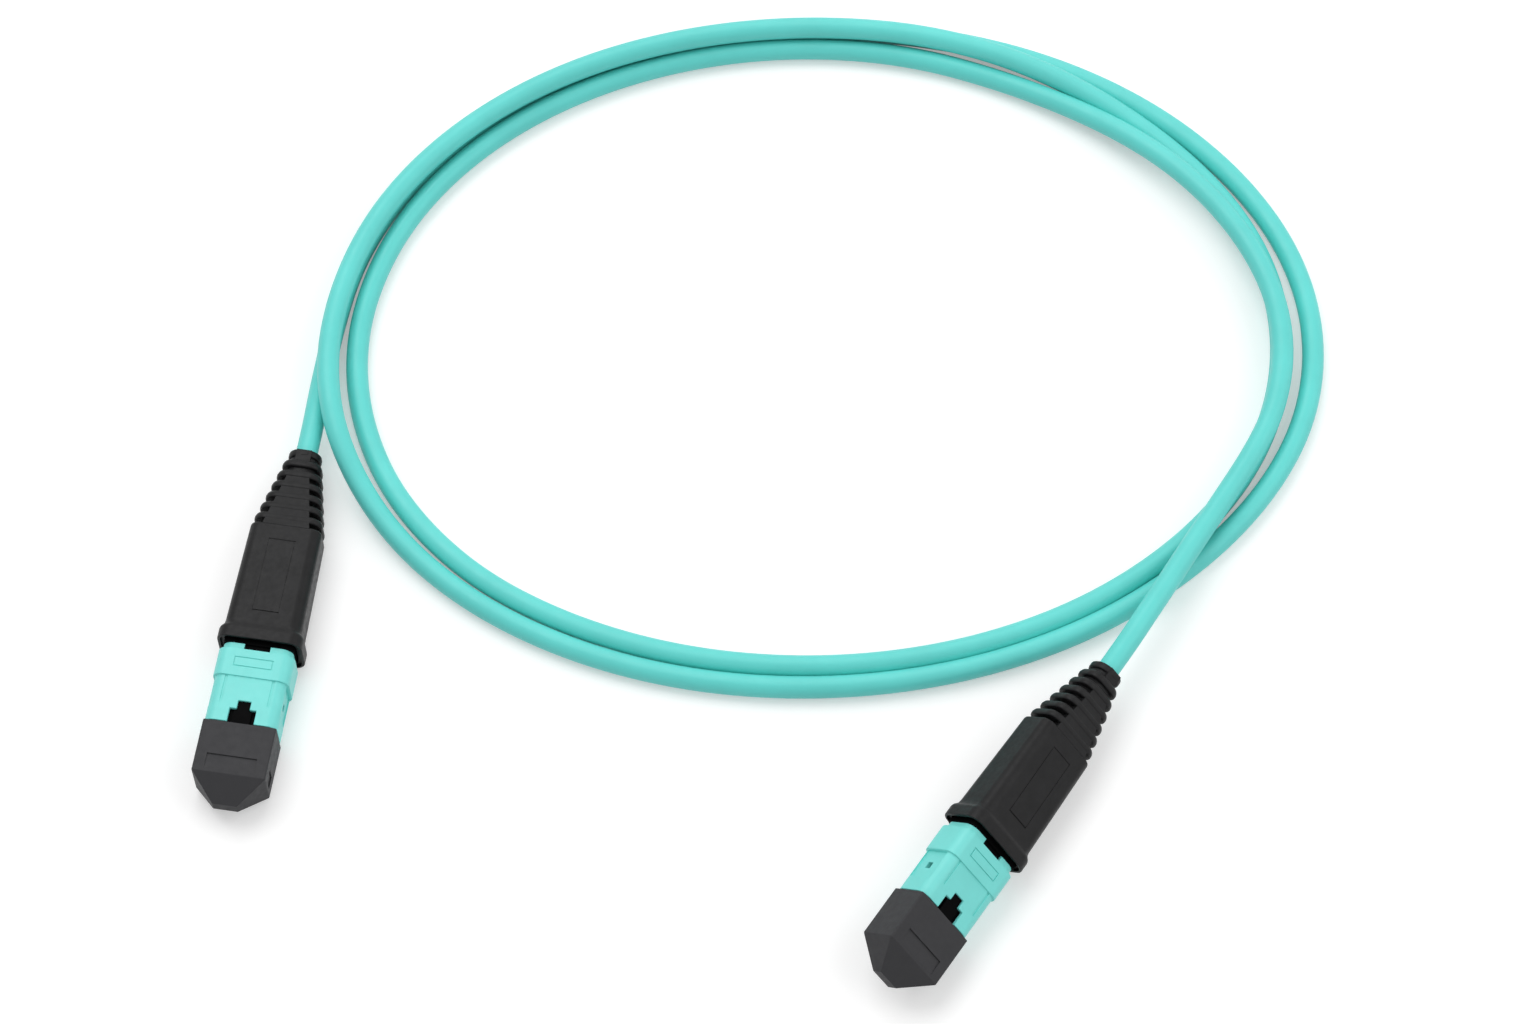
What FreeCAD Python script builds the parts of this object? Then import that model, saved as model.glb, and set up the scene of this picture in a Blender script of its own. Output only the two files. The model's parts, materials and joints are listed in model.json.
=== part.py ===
"""Fibre patch cord with a push-pull multi-fibre connector on each end.

Both connectors are built by the same functions in a connector frame and then placed:
x runs across the wide face, y points out of the key side, z points out of the nose,
and z = 0 is the rear edge of the sliding coupling's raised band.
In the part's own frame connector A lies flat with its nose towards -Y.
"""
import FreeCAD, Part
import math
import os
import Sketcher

DIMENSIONS = (
    # the outer body that the coupling and the dust cap share
    ("body_width", 12.4),
    ("body_height", 7.7),
    ("slide_clearance", 0.1),
    # sliding coupling
    ("coupling_length", 13.3),
    ("coupling_corner", 1.3),
    ("band_length", 5.0),
    ("band_step", 0.3),
    ("lip_length", 1.2),
    ("lip_step", 0.25),
    ("lip_gap_width", 4.4),
    ("side_recess_length", 5.6),
    ("side_recess_depth", 0.35),
    ("side_recess_height", 5.2),
    ("window_size", 1.2),
    ("window_setback", 2.3),
    ("groove_width", 0.3),
    ("groove_depth", 0.2),
    ("groove_length", 4.8),
    ("groove_inset", 2.3),
    ("outline_width", 6.6),
    ("outline_length", 1.8),
    ("outline_setback", 1.5),
    ("outline_line", 0.2),
    ("outline_depth", 0.15),
    ("notch_width", 4.5),
    ("notch_length", 2.5),
    ("slot_width", 2.2),
    ("slot_length", 1.5),
    ("coupling_travel", 2.0),
    # retaining ring behind the coupling
    ("ring_length", 1.0),
    ("ring_gap_width", 7.6),
    ("ring_gap_depth", 0.2),
    # coupling springs
    ("side_spring_length", 5.8),
    ("side_spring_radius", 0.55),
    ("side_spring_wire", 0.3),
    ("side_spring_front", 4.8),
    # plug housing
    ("plug_width", 9.8),
    ("plug_height", 6.0),
    ("plug_corner", 0.8),
    ("nose_length", 8.0),
    ("plug_rear_length", 4.0),
    ("cavity_width", 7.4),
    ("cavity_height", 4.4),
    ("cavity_corner", 0.5),
    ("key_width", 3.0),
    ("key_height", 0.45),
    ("key_nose_gap", 1.2),
    ("latch_recess_setback", 1.3),
    ("latch_recess_length", 2.4),
    ("latch_recess_height", 3.2),
    ("latch_recess_depth", 0.6),
    ("hook_width", 2.0),
    ("hook_length", 1.2),
    ("hook_setback", 1.4),
    # ferrule group
    ("ferrule_width", 6.4),
    ("ferrule_height", 2.5),
    ("ferrule_length", 8.0),
    ("ferrule_reach", 0.7),
    ("shoulder_width", 7.0),
    ("shoulder_height", 3.0),
    ("shoulder_length", 2.0),
    ("guide_hole_radius", 0.35),
    ("guide_hole_pitch", 4.6),
    ("ferrule_window_width", 2.4),
    ("ferrule_window_length", 2.6),
    ("ferrule_window_front", 2.6),
    ("keeper_length", 2.0),
    ("sleeve_width", 3.7),
    ("sleeve_height", 1.3),
    ("sleeve_depth", 2.5),
    ("ribbon_width", 3.1),
    ("ribbon_thickness", 0.3),
    ("ribbon_play", 0.2),
    ("ferrule_spring_radius", 1.9),
    ("ferrule_spring_wire", 0.45),
    # back post, crimp ring and cable
    ("post_front_length", 9.2),
    ("post_block_length", 4.8),
    ("post_tube_length", 7.0),
    ("post_tube_radius", 2.4),
    ("post_bore_radius", 1.7),
    ("crimp_wall", 0.4),
    ("crimp_tail_length", 4.4),
    ("cable_radius", 1.9),
    # strain relief boot
    ("flange_gap", 1.8),
    ("flange_length", 2.4),
    ("flange_width", 14.5),
    ("flange_height", 9.5),
    ("flange_corner", 2.3),
    ("flange_rim", 0.2),
    ("flange_shoulder", 0.5),
    ("hollow_clearance", 0.25),
    ("hollow_spare", 0.4),
    ("mouth_depth", 0.5),
    ("boot_body_length", 20.0),
    ("boot_front_width", 12.9),
    ("boot_front_height", 8.4),
    ("boot_rear_width", 12.3),
    ("boot_rear_height", 7.8),
    ("boot_corner", 2.0),
    ("boot_bore_clearance", 0.05),
    ("rib_count", 6),
    ("rib_pitch", 2.2),
    ("rib_gap", 0.8),
    ("rib_edge", 0.25),
    ("rib_corner", 2.2),
    ("rib_tip_width", 6.9),
    ("rib_tip_height", 5.9),
    ("rib_base_width", 11.8),
    ("rib_base_height", 7.5),
    ("collar_length", 1.3),
    ("collar_width", 5.7),
    ("collar_height", 5.4),
    ("collar_bridge_width", 2.6),
    ("core_tip_width", 4.8),
    ("core_tip_height", 4.6),
    ("core_corner", 2.2),
    ("core_base_width", 9.0),
    ("core_base_height", 5.8),
    ("spine_tip_width", 3.8),
    ("spine_base_width", 8.0),
    ("spine_step", 0.1),
    ("panel_width", 4.6),
    ("panel_length", 14.0),
    ("panel_line", 0.25),
    ("panel_depth", 0.15),
    # dust cap
    ("cap_gap", 0.1),
    ("cap_length", 9.3),
    ("cap_corner", 0.35),
    ("cap_tip_length", 4.4),
    ("cap_tip_width", 4.2),
    ("cap_tip_height", 2.2),
    ("cap_front_space", 0.6),
    ("cap_panel_width", 8.4),
    ("cap_panel_length", 2.7),
    ("cap_panel_depth", 0.25),
    ("cap_panel_margin", 0.6),
    ("cap_side_height", 3.0),
    ("cap_side_length", 2.2),
    # loose coil of cable
    ("coil_half_length", 83.5),
    ("coil_half_width", 64.0),
    ("coil_end_radius", 52.0),
    ("coil_band", 9.8),
    ("coil_layers", 2),
    ("coil_edge", 1.2),
)

COIL_CENTRE = (83.0, 69.55)
COIL_TURN_DEG = 10.1
COIL_SINGLE_LAYER_Y = 30.5

SPRING_STEPS = 8
SPRING_SIDES = 4

FAR_END_PLACE = (123.2, -23.4)
FAR_END_HEADING_DEG = 25.6
FAR_END_ROLL_DEG = 46.0

# Each loose end of the cable leaves its boot straight, then passes through these points.
CABLE_STRAIGHT_RUN = 6.0
CABLE_A_POINTS = ((-0.5, 46.9, 3.4), (-0.8, 53.1, 2.0), (-0.9, 59.5, 1.95))
CABLE_B_POINTS = ((145.6, 24.0, 7.35), (149.0, 32.0, 6.9), (152.6, 40.7, 6.3), (156.1, 48.7, 5.8))

document = FreeCAD.newDocument("patch_cord")
sheet = document.addObject("Spreadsheet::Sheet", "dims")
for row, (alias, number) in enumerate(DIMENSIONS, start=1):
    sheet.set("A%d" % row, alias)
    sheet.set("B%d" % row, str(number))
    sheet.setAlias("B%d" % row, alias)
document.recompute()

ALIASES = sorted((alias for alias, _ in DIMENSIONS), key=len, reverse=True)


def bound(expression):
    """The expression with each dimension's name pointing at the spreadsheet."""
    words = expression.replace("(", " ( ").replace(")", " ) ").split()
    known = {alias for alias, _ in DIMENSIONS}
    return " ".join("dims." + word if word in known else word for word in words)


def size(expression):
    """The expression's value in millimetres."""
    return float(sheet.evalExpression(bound(expression)))


# ---------------------------------------------------------------- sketch helpers


def origin_plane(body, role):
    for feature in body.Origin.OriginFeatures:
        if feature.Role == role:
            return feature
    raise LookupError(role)


def new_sketch(body, name, plane="XY_Plane", shift=("0", "0", "0")):
    """A sketch on one of the body's origin planes, moved along that plane's own axes."""
    sketch = body.newObject("Sketcher::SketchObject", name)
    sketch.AttachmentSupport = (origin_plane(body, plane), "")
    sketch.MapMode = "FlatFace"
    for axis, expression in zip("xyz", shift):
        sketch.setExpression("AttachmentOffset.Base." + axis, bound(expression))
    return sketch


def bind(sketch, name, constraint, expression):
    index = sketch.addConstraint(constraint)
    sketch.renameConstraint(index, name)
    sketch.setExpression("Constraints." + name, bound(expression))


def add_rectangle(sketch, width, height, tag="box"):
    """A rectangle centred on the sketch's origin."""
    half_width, half_height = size(width) / 2, size(height) / 2
    corners = ((-1, -1), (1, -1), (1, 1), (-1, 1))
    points = [FreeCAD.Vector(x * half_width, y * half_height, 0) for x, y in corners]
    first = sketch.GeometryCount
    for index in range(4):
        sketch.addGeometry(Part.LineSegment(points[index], points[(index + 1) % 4]), False)
    for index in range(4):
        following = first + (index + 1) % 4
        sketch.addConstraint(Sketcher.Constraint("Coincident", first + index, 2, following, 1))
    for index in (0, 2):
        sketch.addConstraint(Sketcher.Constraint("Horizontal", first + index))
        sketch.addConstraint(Sketcher.Constraint("Vertical", first + index + 1))
    sketch.addConstraint(Sketcher.Constraint("Symmetric", first, 1, first + 2, 1, -1, 1))
    across = Sketcher.Constraint("DistanceX", first, 1, first, 2, 2 * half_width)
    bind(sketch, tag + "_width", across, width)
    along = Sketcher.Constraint("DistanceY", first + 1, 1, first + 1, 2, 2 * half_height)
    bind(sketch, tag + "_height", along, height)


def add_rounded_rectangle(sketch, width, height, corner, tag="box"):
    """A rectangle with four equal round corners, centred on the sketch's origin."""
    half_width, half_height, radius = size(width) / 2, size(height) / 2, size(corner)
    inner_x, inner_y = half_width - radius, half_height - radius
    signs = ((1, -1), (1, 1), (-1, 1), (-1, -1))
    first = sketch.GeometryCount
    starts = (
        (-inner_x, -half_height), (half_width, -inner_y), (inner_x, half_height), (-half_width, inner_y)
    )
    ends = (
        (inner_x, -half_height), (half_width, inner_y), (-inner_x, half_height), (-half_width, -inner_y)
    )
    for start, end in zip(starts, ends):
        line = Part.LineSegment(FreeCAD.Vector(*start, 0), FreeCAD.Vector(*end, 0))
        sketch.addGeometry(line, False)
    for index, (sign_x, sign_y) in enumerate(signs):
        centre = FreeCAD.Vector(sign_x * inner_x, sign_y * inner_y, 0)
        circle = Part.Circle(centre, FreeCAD.Vector(0, 0, 1), radius)
        begin = (index - 1) * math.pi / 2
        sketch.addGeometry(Part.ArcOfCircle(circle, begin, begin + math.pi / 2), False)
    for index in range(4):
        line, arc, following = first + index, first + 4 + index, first + (index + 1) % 4
        sketch.addConstraint(Sketcher.Constraint("Tangent", line, 2, arc, 1))
        sketch.addConstraint(Sketcher.Constraint("Tangent", arc, 2, following, 1))
    for index in (0, 2):
        sketch.addConstraint(Sketcher.Constraint("Horizontal", first + index))
        sketch.addConstraint(Sketcher.Constraint("Vertical", first + index + 1))
    for index in (5, 6, 7):
        sketch.addConstraint(Sketcher.Constraint("Equal", first + 4, first + index))
    sketch.addConstraint(Sketcher.Constraint("Symmetric", first + 4, 3, first + 6, 3, -1, 1))
    bind(sketch, tag + "_corner", Sketcher.Constraint("Radius", first + 4, radius), corner)
    across = Sketcher.Constraint("DistanceX", first + 3, 1, first + 1, 2, 2 * half_width)
    bind(sketch, tag + "_width", across, width)
    along = Sketcher.Constraint("DistanceY", first, 2, first + 2, 1, 2 * half_height)
    bind(sketch, tag + "_height", along, height)


def add_circle(sketch, radius, x="0", y="0", tag="round"):
    centre = FreeCAD.Vector(size(x), size(y), 0)
    index = sketch.addGeometry(Part.Circle(centre, FreeCAD.Vector(0, 0, 1), size(radius)), False)
    bind(sketch, tag + "_radius", Sketcher.Constraint("Radius", index, size(radius)), radius)
    if x == "0" and y == "0":
        sketch.addConstraint(Sketcher.Constraint("Coincident", index, 3, -1, 1))
        return
    bind(sketch, tag + "_x", Sketcher.Constraint("DistanceX", -1, 1, index, 3, centre.x), x)
    bind(sketch, tag + "_y", Sketcher.Constraint("DistanceY", -1, 1, index, 3, centre.y), y)


# --------------------------------------------------------------- feature helpers


def new_body(label):
    body = document.addObject("PartDesign::Body", label)
    body.Label = label
    return body


def pad(body, name, sketch, length):
    """Material from the sketch towards its own normal."""
    feature = body.newObject("PartDesign::Pad", name)
    feature.Profile = sketch
    feature.setExpression("Length", bound(length))
    document.recompute()
    return feature


def cut(body, name, sketch, length, midplane=False):
    """Removes material from the sketch towards its own normal, or to both sides of it."""
    before = body.Shape.Volume
    feature = body.newObject("PartDesign::Pocket", name)
    feature.Profile = sketch
    feature.Reversed = not midplane
    feature.Midplane = midplane
    feature.setExpression("Length", bound(length))
    document.recompute()
    if body.Shape.Volume >= before:
        raise RuntimeError("%s removed nothing from %s" % (name, body.Label))
    return feature


def loft(body, name, sketches, ruled=True):
    feature = body.newObject("PartDesign::AdditiveLoft", name)
    feature.Profile = sketches[0]
    feature.Sections = sketches[1:]
    feature.Ruled = ruled
    document.recompute()
    if "Invalid" in feature.State or feature.Shape.isNull():
        raise RuntimeError("%s failed" % name)
    return feature


def slab(body, name, width, height, corner, rear, thickness):
    """A rounded-rectangle slab across z."""
    sketch = new_sketch(body, name + "_sketch", shift=("0", "0", rear))
    add_rounded_rectangle(sketch, width, height, corner)
    return pad(body, name, sketch, thickness)


def box_cut(body, name, width, height, length, shift, plane="XY_Plane", midplane=False):
    sketch = new_sketch(body, name + "_sketch", plane, shift)
    add_rectangle(sketch, width, height)
    return cut(body, name, sketch, length, midplane)


def outline_cut(body, name, width, length, corner, line, middle, level, reach, face):
    """A fine rectangular line in the wide face on the key side ("top") or opposite ("bottom")."""
    away = "-1" if face == "top" else "1"
    sketch = new_sketch(body, name + "_sketch", "XZ_Plane", ("0", middle, "( " + level + " ) * " + away))
    add_rounded_rectangle(sketch, width, length, corner, "outer")
    add_rounded_rectangle(
        sketch, width + " - 2 * " + line, length + " - 2 * " + line, corner + " - " + line, "inner"
    )
    before = body.Shape.Volume
    feature = body.newObject("PartDesign::Pocket", name)
    feature.Profile = sketch
    feature.Reversed = face == "bottom"
    feature.setExpression("Length", bound(reach))
    document.recompute()
    if body.Shape.Volume >= before:
        raise RuntimeError(name + " removed nothing")
    return feature


def rim_edges(feature, level, width, height):
    """Names of the edges of a rim of this width and height that lie at the given level."""
    half_width, half_height = size("( " + width + " ) / 2"), size("( " + height + " ) / 2")
    names = []
    for index, edge in enumerate(feature.Shape.Edges, start=1):
        box = edge.BoundBox
        flat = abs(box.ZMin - level) < 1e-4 and abs(box.ZMax - level) < 1e-4
        wide = max(abs(box.XMin), abs(box.XMax)) > half_width - 1e-3
        high = max(abs(box.YMin), abs(box.YMax)) > half_height - 1e-3
        if flat and (wide or high):
            names.append("Edge%d" % index)
    return names


def chamfer(body, name, base, edges, amount):
    feature = body.newObject("PartDesign::Chamfer", name)
    feature.Base = (base, edges)
    feature.setExpression("Size", bound(amount))
    document.recompute()
    if "Invalid" in feature.State or feature.Shape.isNull():
        raise RuntimeError("%s failed on %s" % (name, edges))
    return feature


# ------------------------------------------------------------------ shared places

CAVITY_WIDTH = "plug_width + 2 * slide_clearance"
CAVITY_HEIGHT = "plug_height + 2 * slide_clearance"
PLUG_FRONT = "coupling_length + nose_length"
FERRULE_FRONT = "coupling_length + nose_length + ferrule_reach"
FERRULE_REAR = "coupling_length + nose_length + ferrule_reach - ferrule_length"
KEEPER_REAR = FERRULE_REAR + " - keeper_length"
POST_REAR = "0 - plug_rear_length - post_block_length"
TUBE_REAR = POST_REAR + " - post_tube_length"
FLANGE_REAR = "0 - flange_gap - flange_length"
BOOT_REAR = FLANGE_REAR + " - boot_body_length"
BOOT_TIP = BOOT_REAR + " - rib_count * rib_pitch - rib_gap - collar_length"
CAP_REAR = "coupling_length + cap_gap"
CAP_FRONT = CAP_REAR + " + cap_length"


# ---------------------------------------------------------------------- connector


def make_coupling(label):
    """Aqua sleeve that is pulled back to release the plug."""
    body = new_body(label)
    front = new_sketch(body, label + "_front_sketch")
    add_rounded_rectangle(front, "body_width", "body_height", "coupling_corner")
    pad(body, label + "_front", front, "coupling_length")
    band = new_sketch(body, label + "_band_sketch")
    add_rounded_rectangle(
        band, "body_width + 2 * band_step", "body_height + 2 * band_step", "coupling_corner + band_step"
    )
    pad(body, label + "_band", band, "band_length")
    lip = new_sketch(body, label + "_lip_sketch", shift=("0", "0", "0 - lip_length"))
    add_rounded_rectangle(
        lip, "body_width - 2 * lip_step", "body_height - 2 * lip_step", "coupling_corner - lip_step"
    )
    pad(body, label + "_lip", lip, "lip_length")
    bore = new_sketch(body, label + "_bore_sketch", shift=("0", "0", "0 - lip_length"))
    add_rounded_rectangle(bore, CAVITY_WIDTH, CAVITY_HEIGHT, "plug_corner + slide_clearance")
    cut(body, label + "_bore", bore, "coupling_length + lip_length")
    # keyway at the front edge of the key side, in two steps
    box_cut(
        body, label + "_notch", "notch_width", "body_height", "notch_length",
        ("0", "body_height / 2", "coupling_length - notch_length"),
    )
    box_cut(
        body, label + "_slot", "slot_width", "body_height", "slot_length",
        ("0", "body_height / 2", "coupling_length - notch_length - slot_length"),
    )
    # gaps in the rear lip on both wide faces
    box_cut(body, label + "_lip_gap", "lip_gap_width", "2 * body_height", "lip_length", ("0", "0", "0 - lip_length"))
    for side, sign in (("left", "-1"), ("right", "1")):
        channel_middle = "( " + CAVITY_WIDTH + " ) / 2 * " + sign
        box_cut(
            body, label + "_channel_" + side, "2 * side_spring_radius + side_spring_wire + slide_clearance",
            "2 * side_spring_radius + side_spring_wire + slide_clearance",
            "side_spring_front + lip_length", (channel_middle, "0", "0 - lip_length"),
        )
        box_cut(
            body, label + "_side_recess_" + side, "2 * side_recess_depth", "side_recess_height",
            "side_recess_length", ("body_width / 2 * " + sign, "0", "band_length"),
        )
        box_cut(
            body, label + "_window_" + side, "body_width / 2", "window_size", "window_size",
            ("body_width / 2 * " + sign, "0", "band_length + window_setback"),
        )
        for face, up in (("top", "1"), ("bottom", "-1")):
            box_cut(
                body, label + "_groove_" + side + "_" + face, "groove_width", "2 * groove_depth",
                "groove_length",
                (
                    "( body_width / 2 - groove_inset ) * " + sign, "body_height / 2 * " + up, "band_length"
                ),
            )
    for face in ("top", "bottom"):
        outline_cut(
            body, label + "_outline_" + face, "outline_width", "outline_length", "cap_corner", "outline_line",
            "outline_setback + outline_length / 2", "body_height / 2 + band_step - outline_depth",
            "2 * outline_depth", face,
        )
    return body


def make_retaining_ring(label):
    """Black ring behind the coupling that keeps its two springs in their channels."""
    body = new_body(label)
    rear = "0 - lip_length - ring_length"
    slab(
        body, label + "_outer", "body_width - 2 * lip_step", "body_height - 2 * lip_step",
        "coupling_corner - lip_step", rear, "ring_length",
    )
    bore = new_sketch(body, label + "_bore_sketch", shift=("0", "0", rear))
    add_rounded_rectangle(bore, CAVITY_WIDTH, CAVITY_HEIGHT, "plug_corner + slide_clearance")
    cut(body, label + "_bore", bore, "ring_length")
    for face, up in (("top", "1"), ("bottom", "-1")):
        box_cut(
            body, label + "_gap_" + face, "ring_gap_width", "2 * ring_gap_depth", "ring_length",
            ("0", "( body_height / 2 - lip_step ) * " + up, rear),
        )
    return body


def make_plug_housing(label):
    """Black inner body that carries the key, the ferrule and the latch recesses."""
    body = new_body(label)
    outer = new_sketch(body, label + "_outer_sketch", shift=("0", "0", "0 - plug_rear_length"))
    add_rounded_rectangle(outer, "plug_width", "plug_height", "plug_corner")
    pad(body, label + "_outer", outer, "plug_rear_length + " + PLUG_FRONT)
    key_rear = "coupling_length - notch_length - slot_length"
    stem = new_sketch(body, label + "_stem_sketch", shift=("0", "plug_height / 2", key_rear))
    add_rectangle(stem, "slot_width - 2 * slide_clearance", "2 * key_height")
    pad(body, label + "_stem", stem, "slot_length + 2 * slide_clearance")
    key = new_sketch(
        body, label + "_key_sketch",
        shift=("0", "plug_height / 2", "coupling_length - notch_length + 2 * slide_clearance"),
    )
    add_rectangle(key, "key_width", "2 * key_height")
    pad(body, label + "_key", key, "notch_length - 2 * slide_clearance + nose_length - key_nose_gap")
    cavity = new_sketch(body, label + "_cavity_sketch", shift=("0", "0", "0 - plug_rear_length"))
    add_rounded_rectangle(cavity, "cavity_width", "cavity_height", "cavity_corner")
    cut(body, label + "_cavity", cavity, "plug_rear_length + " + FERRULE_REAR + " + shoulder_length")
    mouth = new_sketch(body, label + "_mouth_sketch", shift=("0", "0", FERRULE_REAR))
    add_rectangle(mouth, "ferrule_width + 2 * slide_clearance", "ferrule_height + 2 * slide_clearance")
    cut(body, label + "_mouth", mouth, "ferrule_length")
    for side, sign in (("left", "-1"), ("right", "1")):
        box_cut(
            body, label + "_latch_recess_" + side, "2 * latch_recess_depth", "latch_recess_height",
            "latch_recess_length",
            ("plug_width / 2 * " + sign, "0", "coupling_length + latch_recess_setback"),
        )
        box_cut(
            body, label + "_channel_" + side, "2 * side_spring_radius + side_spring_wire",
            "2 * side_spring_radius + side_spring_wire + slide_clearance",
            "side_spring_length + slide_clearance",
            (
                "( plug_width / 2 + slide_clearance / 2 ) * " + sign, "0",
                "side_spring_front - side_spring_length",
            ),
        )
        box_cut(
            body, label + "_hook_window_" + side, "plug_width / 2", "hook_width", "hook_length",
            ("plug_width / 2 * " + sign, "0", "0 - plug_rear_length + hook_setback"),
        )
    return body


def make_ferrule(label):
    """Rectangular multi-fibre ferrule with two guide holes and its rear shoulder."""
    body = new_body(label)
    block = new_sketch(body, label + "_block_sketch", shift=("0", "0", FERRULE_REAR))
    add_rectangle(block, "ferrule_width", "ferrule_height")
    pad(body, label + "_block", block, "ferrule_length")
    shoulder = new_sketch(body, label + "_shoulder_sketch", shift=("0", "0", FERRULE_REAR))
    add_rounded_rectangle(shoulder, "shoulder_width", "shoulder_height", "ribbon_thickness")
    pad(body, label + "_shoulder", shoulder, "shoulder_length")
    holes = new_sketch(body, label + "_guide_sketch", shift=("0", "0", FERRULE_REAR))
    add_circle(holes, "guide_hole_radius", "guide_hole_pitch / 2", "0", "right")
    add_circle(holes, "guide_hole_radius", "0 - guide_hole_pitch / 2", "0", "left")
    cut(body, label + "_guide_holes", holes, "ferrule_length")
    sleeve = new_sketch(body, label + "_sleeve_sketch", shift=("0", "0", FERRULE_REAR))
    add_rectangle(sleeve, "sleeve_width", "sleeve_height")
    cut(body, label + "_sleeve_seat", sleeve, "sleeve_depth")
    # potting window over the fibres on the key side
    box_cut(
        body, label + "_window", "ferrule_window_width", "ferrule_height", "ferrule_window_length",
        ("0", "ferrule_height / 2", FERRULE_FRONT + " - ferrule_window_front - ferrule_window_length"),
    )
    return body


def make_pin_keeper(label):
    """Plate behind the ferrule that the spring bears on."""
    body = new_body(label)
    plate = new_sketch(body, label + "_plate_sketch", shift=("0", "0", KEEPER_REAR))
    add_rounded_rectangle(plate, "shoulder_width", "shoulder_height + ribbon_thickness", "cavity_corner")
    pad(body, label + "_plate", plate, "keeper_length")
    box_cut(body, label + "_opening", "sleeve_width", "sleeve_height", "keeper_length", ("0", "0", KEEPER_REAR))
    for side, sign in (("left", "-1"), ("right", "1")):
        notch_shift = ("shoulder_width / 2 * " + sign, "0", KEEPER_REAR)
        box_cut(body, label + "_notch_" + side, "ferrule_spring_wire * 2", "sleeve_height", "keeper_length / 2",
                notch_shift)
    return body


def make_ferrule_sleeve(label):
    """Soft sleeve that leads the fibre ribbon into the ferrule."""
    body = new_body(label)
    outer = new_sketch(body, label + "_outer_sketch", shift=("0", "0", KEEPER_REAR))
    add_rectangle(outer, "sleeve_width", "sleeve_height")
    pad(body, label + "_outer", outer, "keeper_length + sleeve_depth")
    box_cut(
        body, label + "_opening", "ribbon_width + ribbon_play", "ribbon_thickness + ribbon_play",
        "keeper_length + sleeve_depth", ("0", "0", KEEPER_REAR),
    )
    return body


def make_back_post(label):
    """Rear plug body: spring seat, latch hooks and the ribbed crimp tube."""
    body = new_body(label)
    front = new_sketch(body, label + "_front_sketch", shift=("0", "0", "0 - plug_rear_length"))
    add_rounded_rectangle(
        front, "cavity_width - 2 * slide_clearance", "cavity_height - 2 * slide_clearance",
        "cavity_corner - slide_clearance",
    )
    pad(body, label + "_front", front, "post_front_length")
    block = new_sketch(body, label + "_block_sketch", shift=("0", "0", POST_REAR))
    add_rounded_rectangle(block, "plug_width", "plug_height", "plug_corner")
    pad(body, label + "_block", block, "post_block_length")
    hooks = new_sketch(
        body, label + "_hook_sketch", shift=("0", "0", "0 - plug_rear_length + hook_setback + slide_clearance")
    )
    add_rectangle(hooks, "plug_width - 2 * slide_clearance", "hook_width - 2 * slide_clearance")
    pad(body, label + "_hooks", hooks, "hook_length - 2 * slide_clearance")
    tube = new_sketch(body, label + "_tube_sketch", shift=("0", "0", TUBE_REAR))
    add_circle(tube, "post_tube_radius")
    pad(body, label + "_tube", tube, "post_tube_length")
    bore = new_sketch(body, label + "_bore_sketch", shift=("0", "0", TUBE_REAR))
    add_circle(bore, "post_bore_radius")
    cut(body, label + "_bore", bore, "post_tube_length + post_block_length + post_front_length")
    return body


def make_crimp_ring(label):
    """Crimped sleeve: wide over the post's tube, narrow over the cable jacket."""
    body = new_body(label)
    wide = new_sketch(body, label + "_wide_sketch", shift=("0", "0", TUBE_REAR + " - crimp_wall"))
    add_circle(wide, "post_tube_radius + crimp_wall")
    pad(body, label + "_wide", wide, "post_tube_length")
    tail = new_sketch(
        body, label + "_tail_sketch", shift=("0", "0", TUBE_REAR + " - crimp_wall - crimp_tail_length")
    )
    add_circle(tail, "cable_radius + crimp_wall")
    pad(body, label + "_tail", tail, "crimp_tail_length")
    seat = new_sketch(body, label + "_seat_sketch", shift=("0", "0", TUBE_REAR))
    add_circle(seat, "post_tube_radius")
    cut(body, label + "_seat", seat, "post_tube_length")
    entry = new_sketch(
        body, label + "_entry_sketch", shift=("0", "0", TUBE_REAR + " - crimp_wall - crimp_tail_length")
    )
    add_circle(entry, "cable_radius")
    cut(body, label + "_entry", entry, "crimp_tail_length + crimp_wall")
    return body


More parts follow.
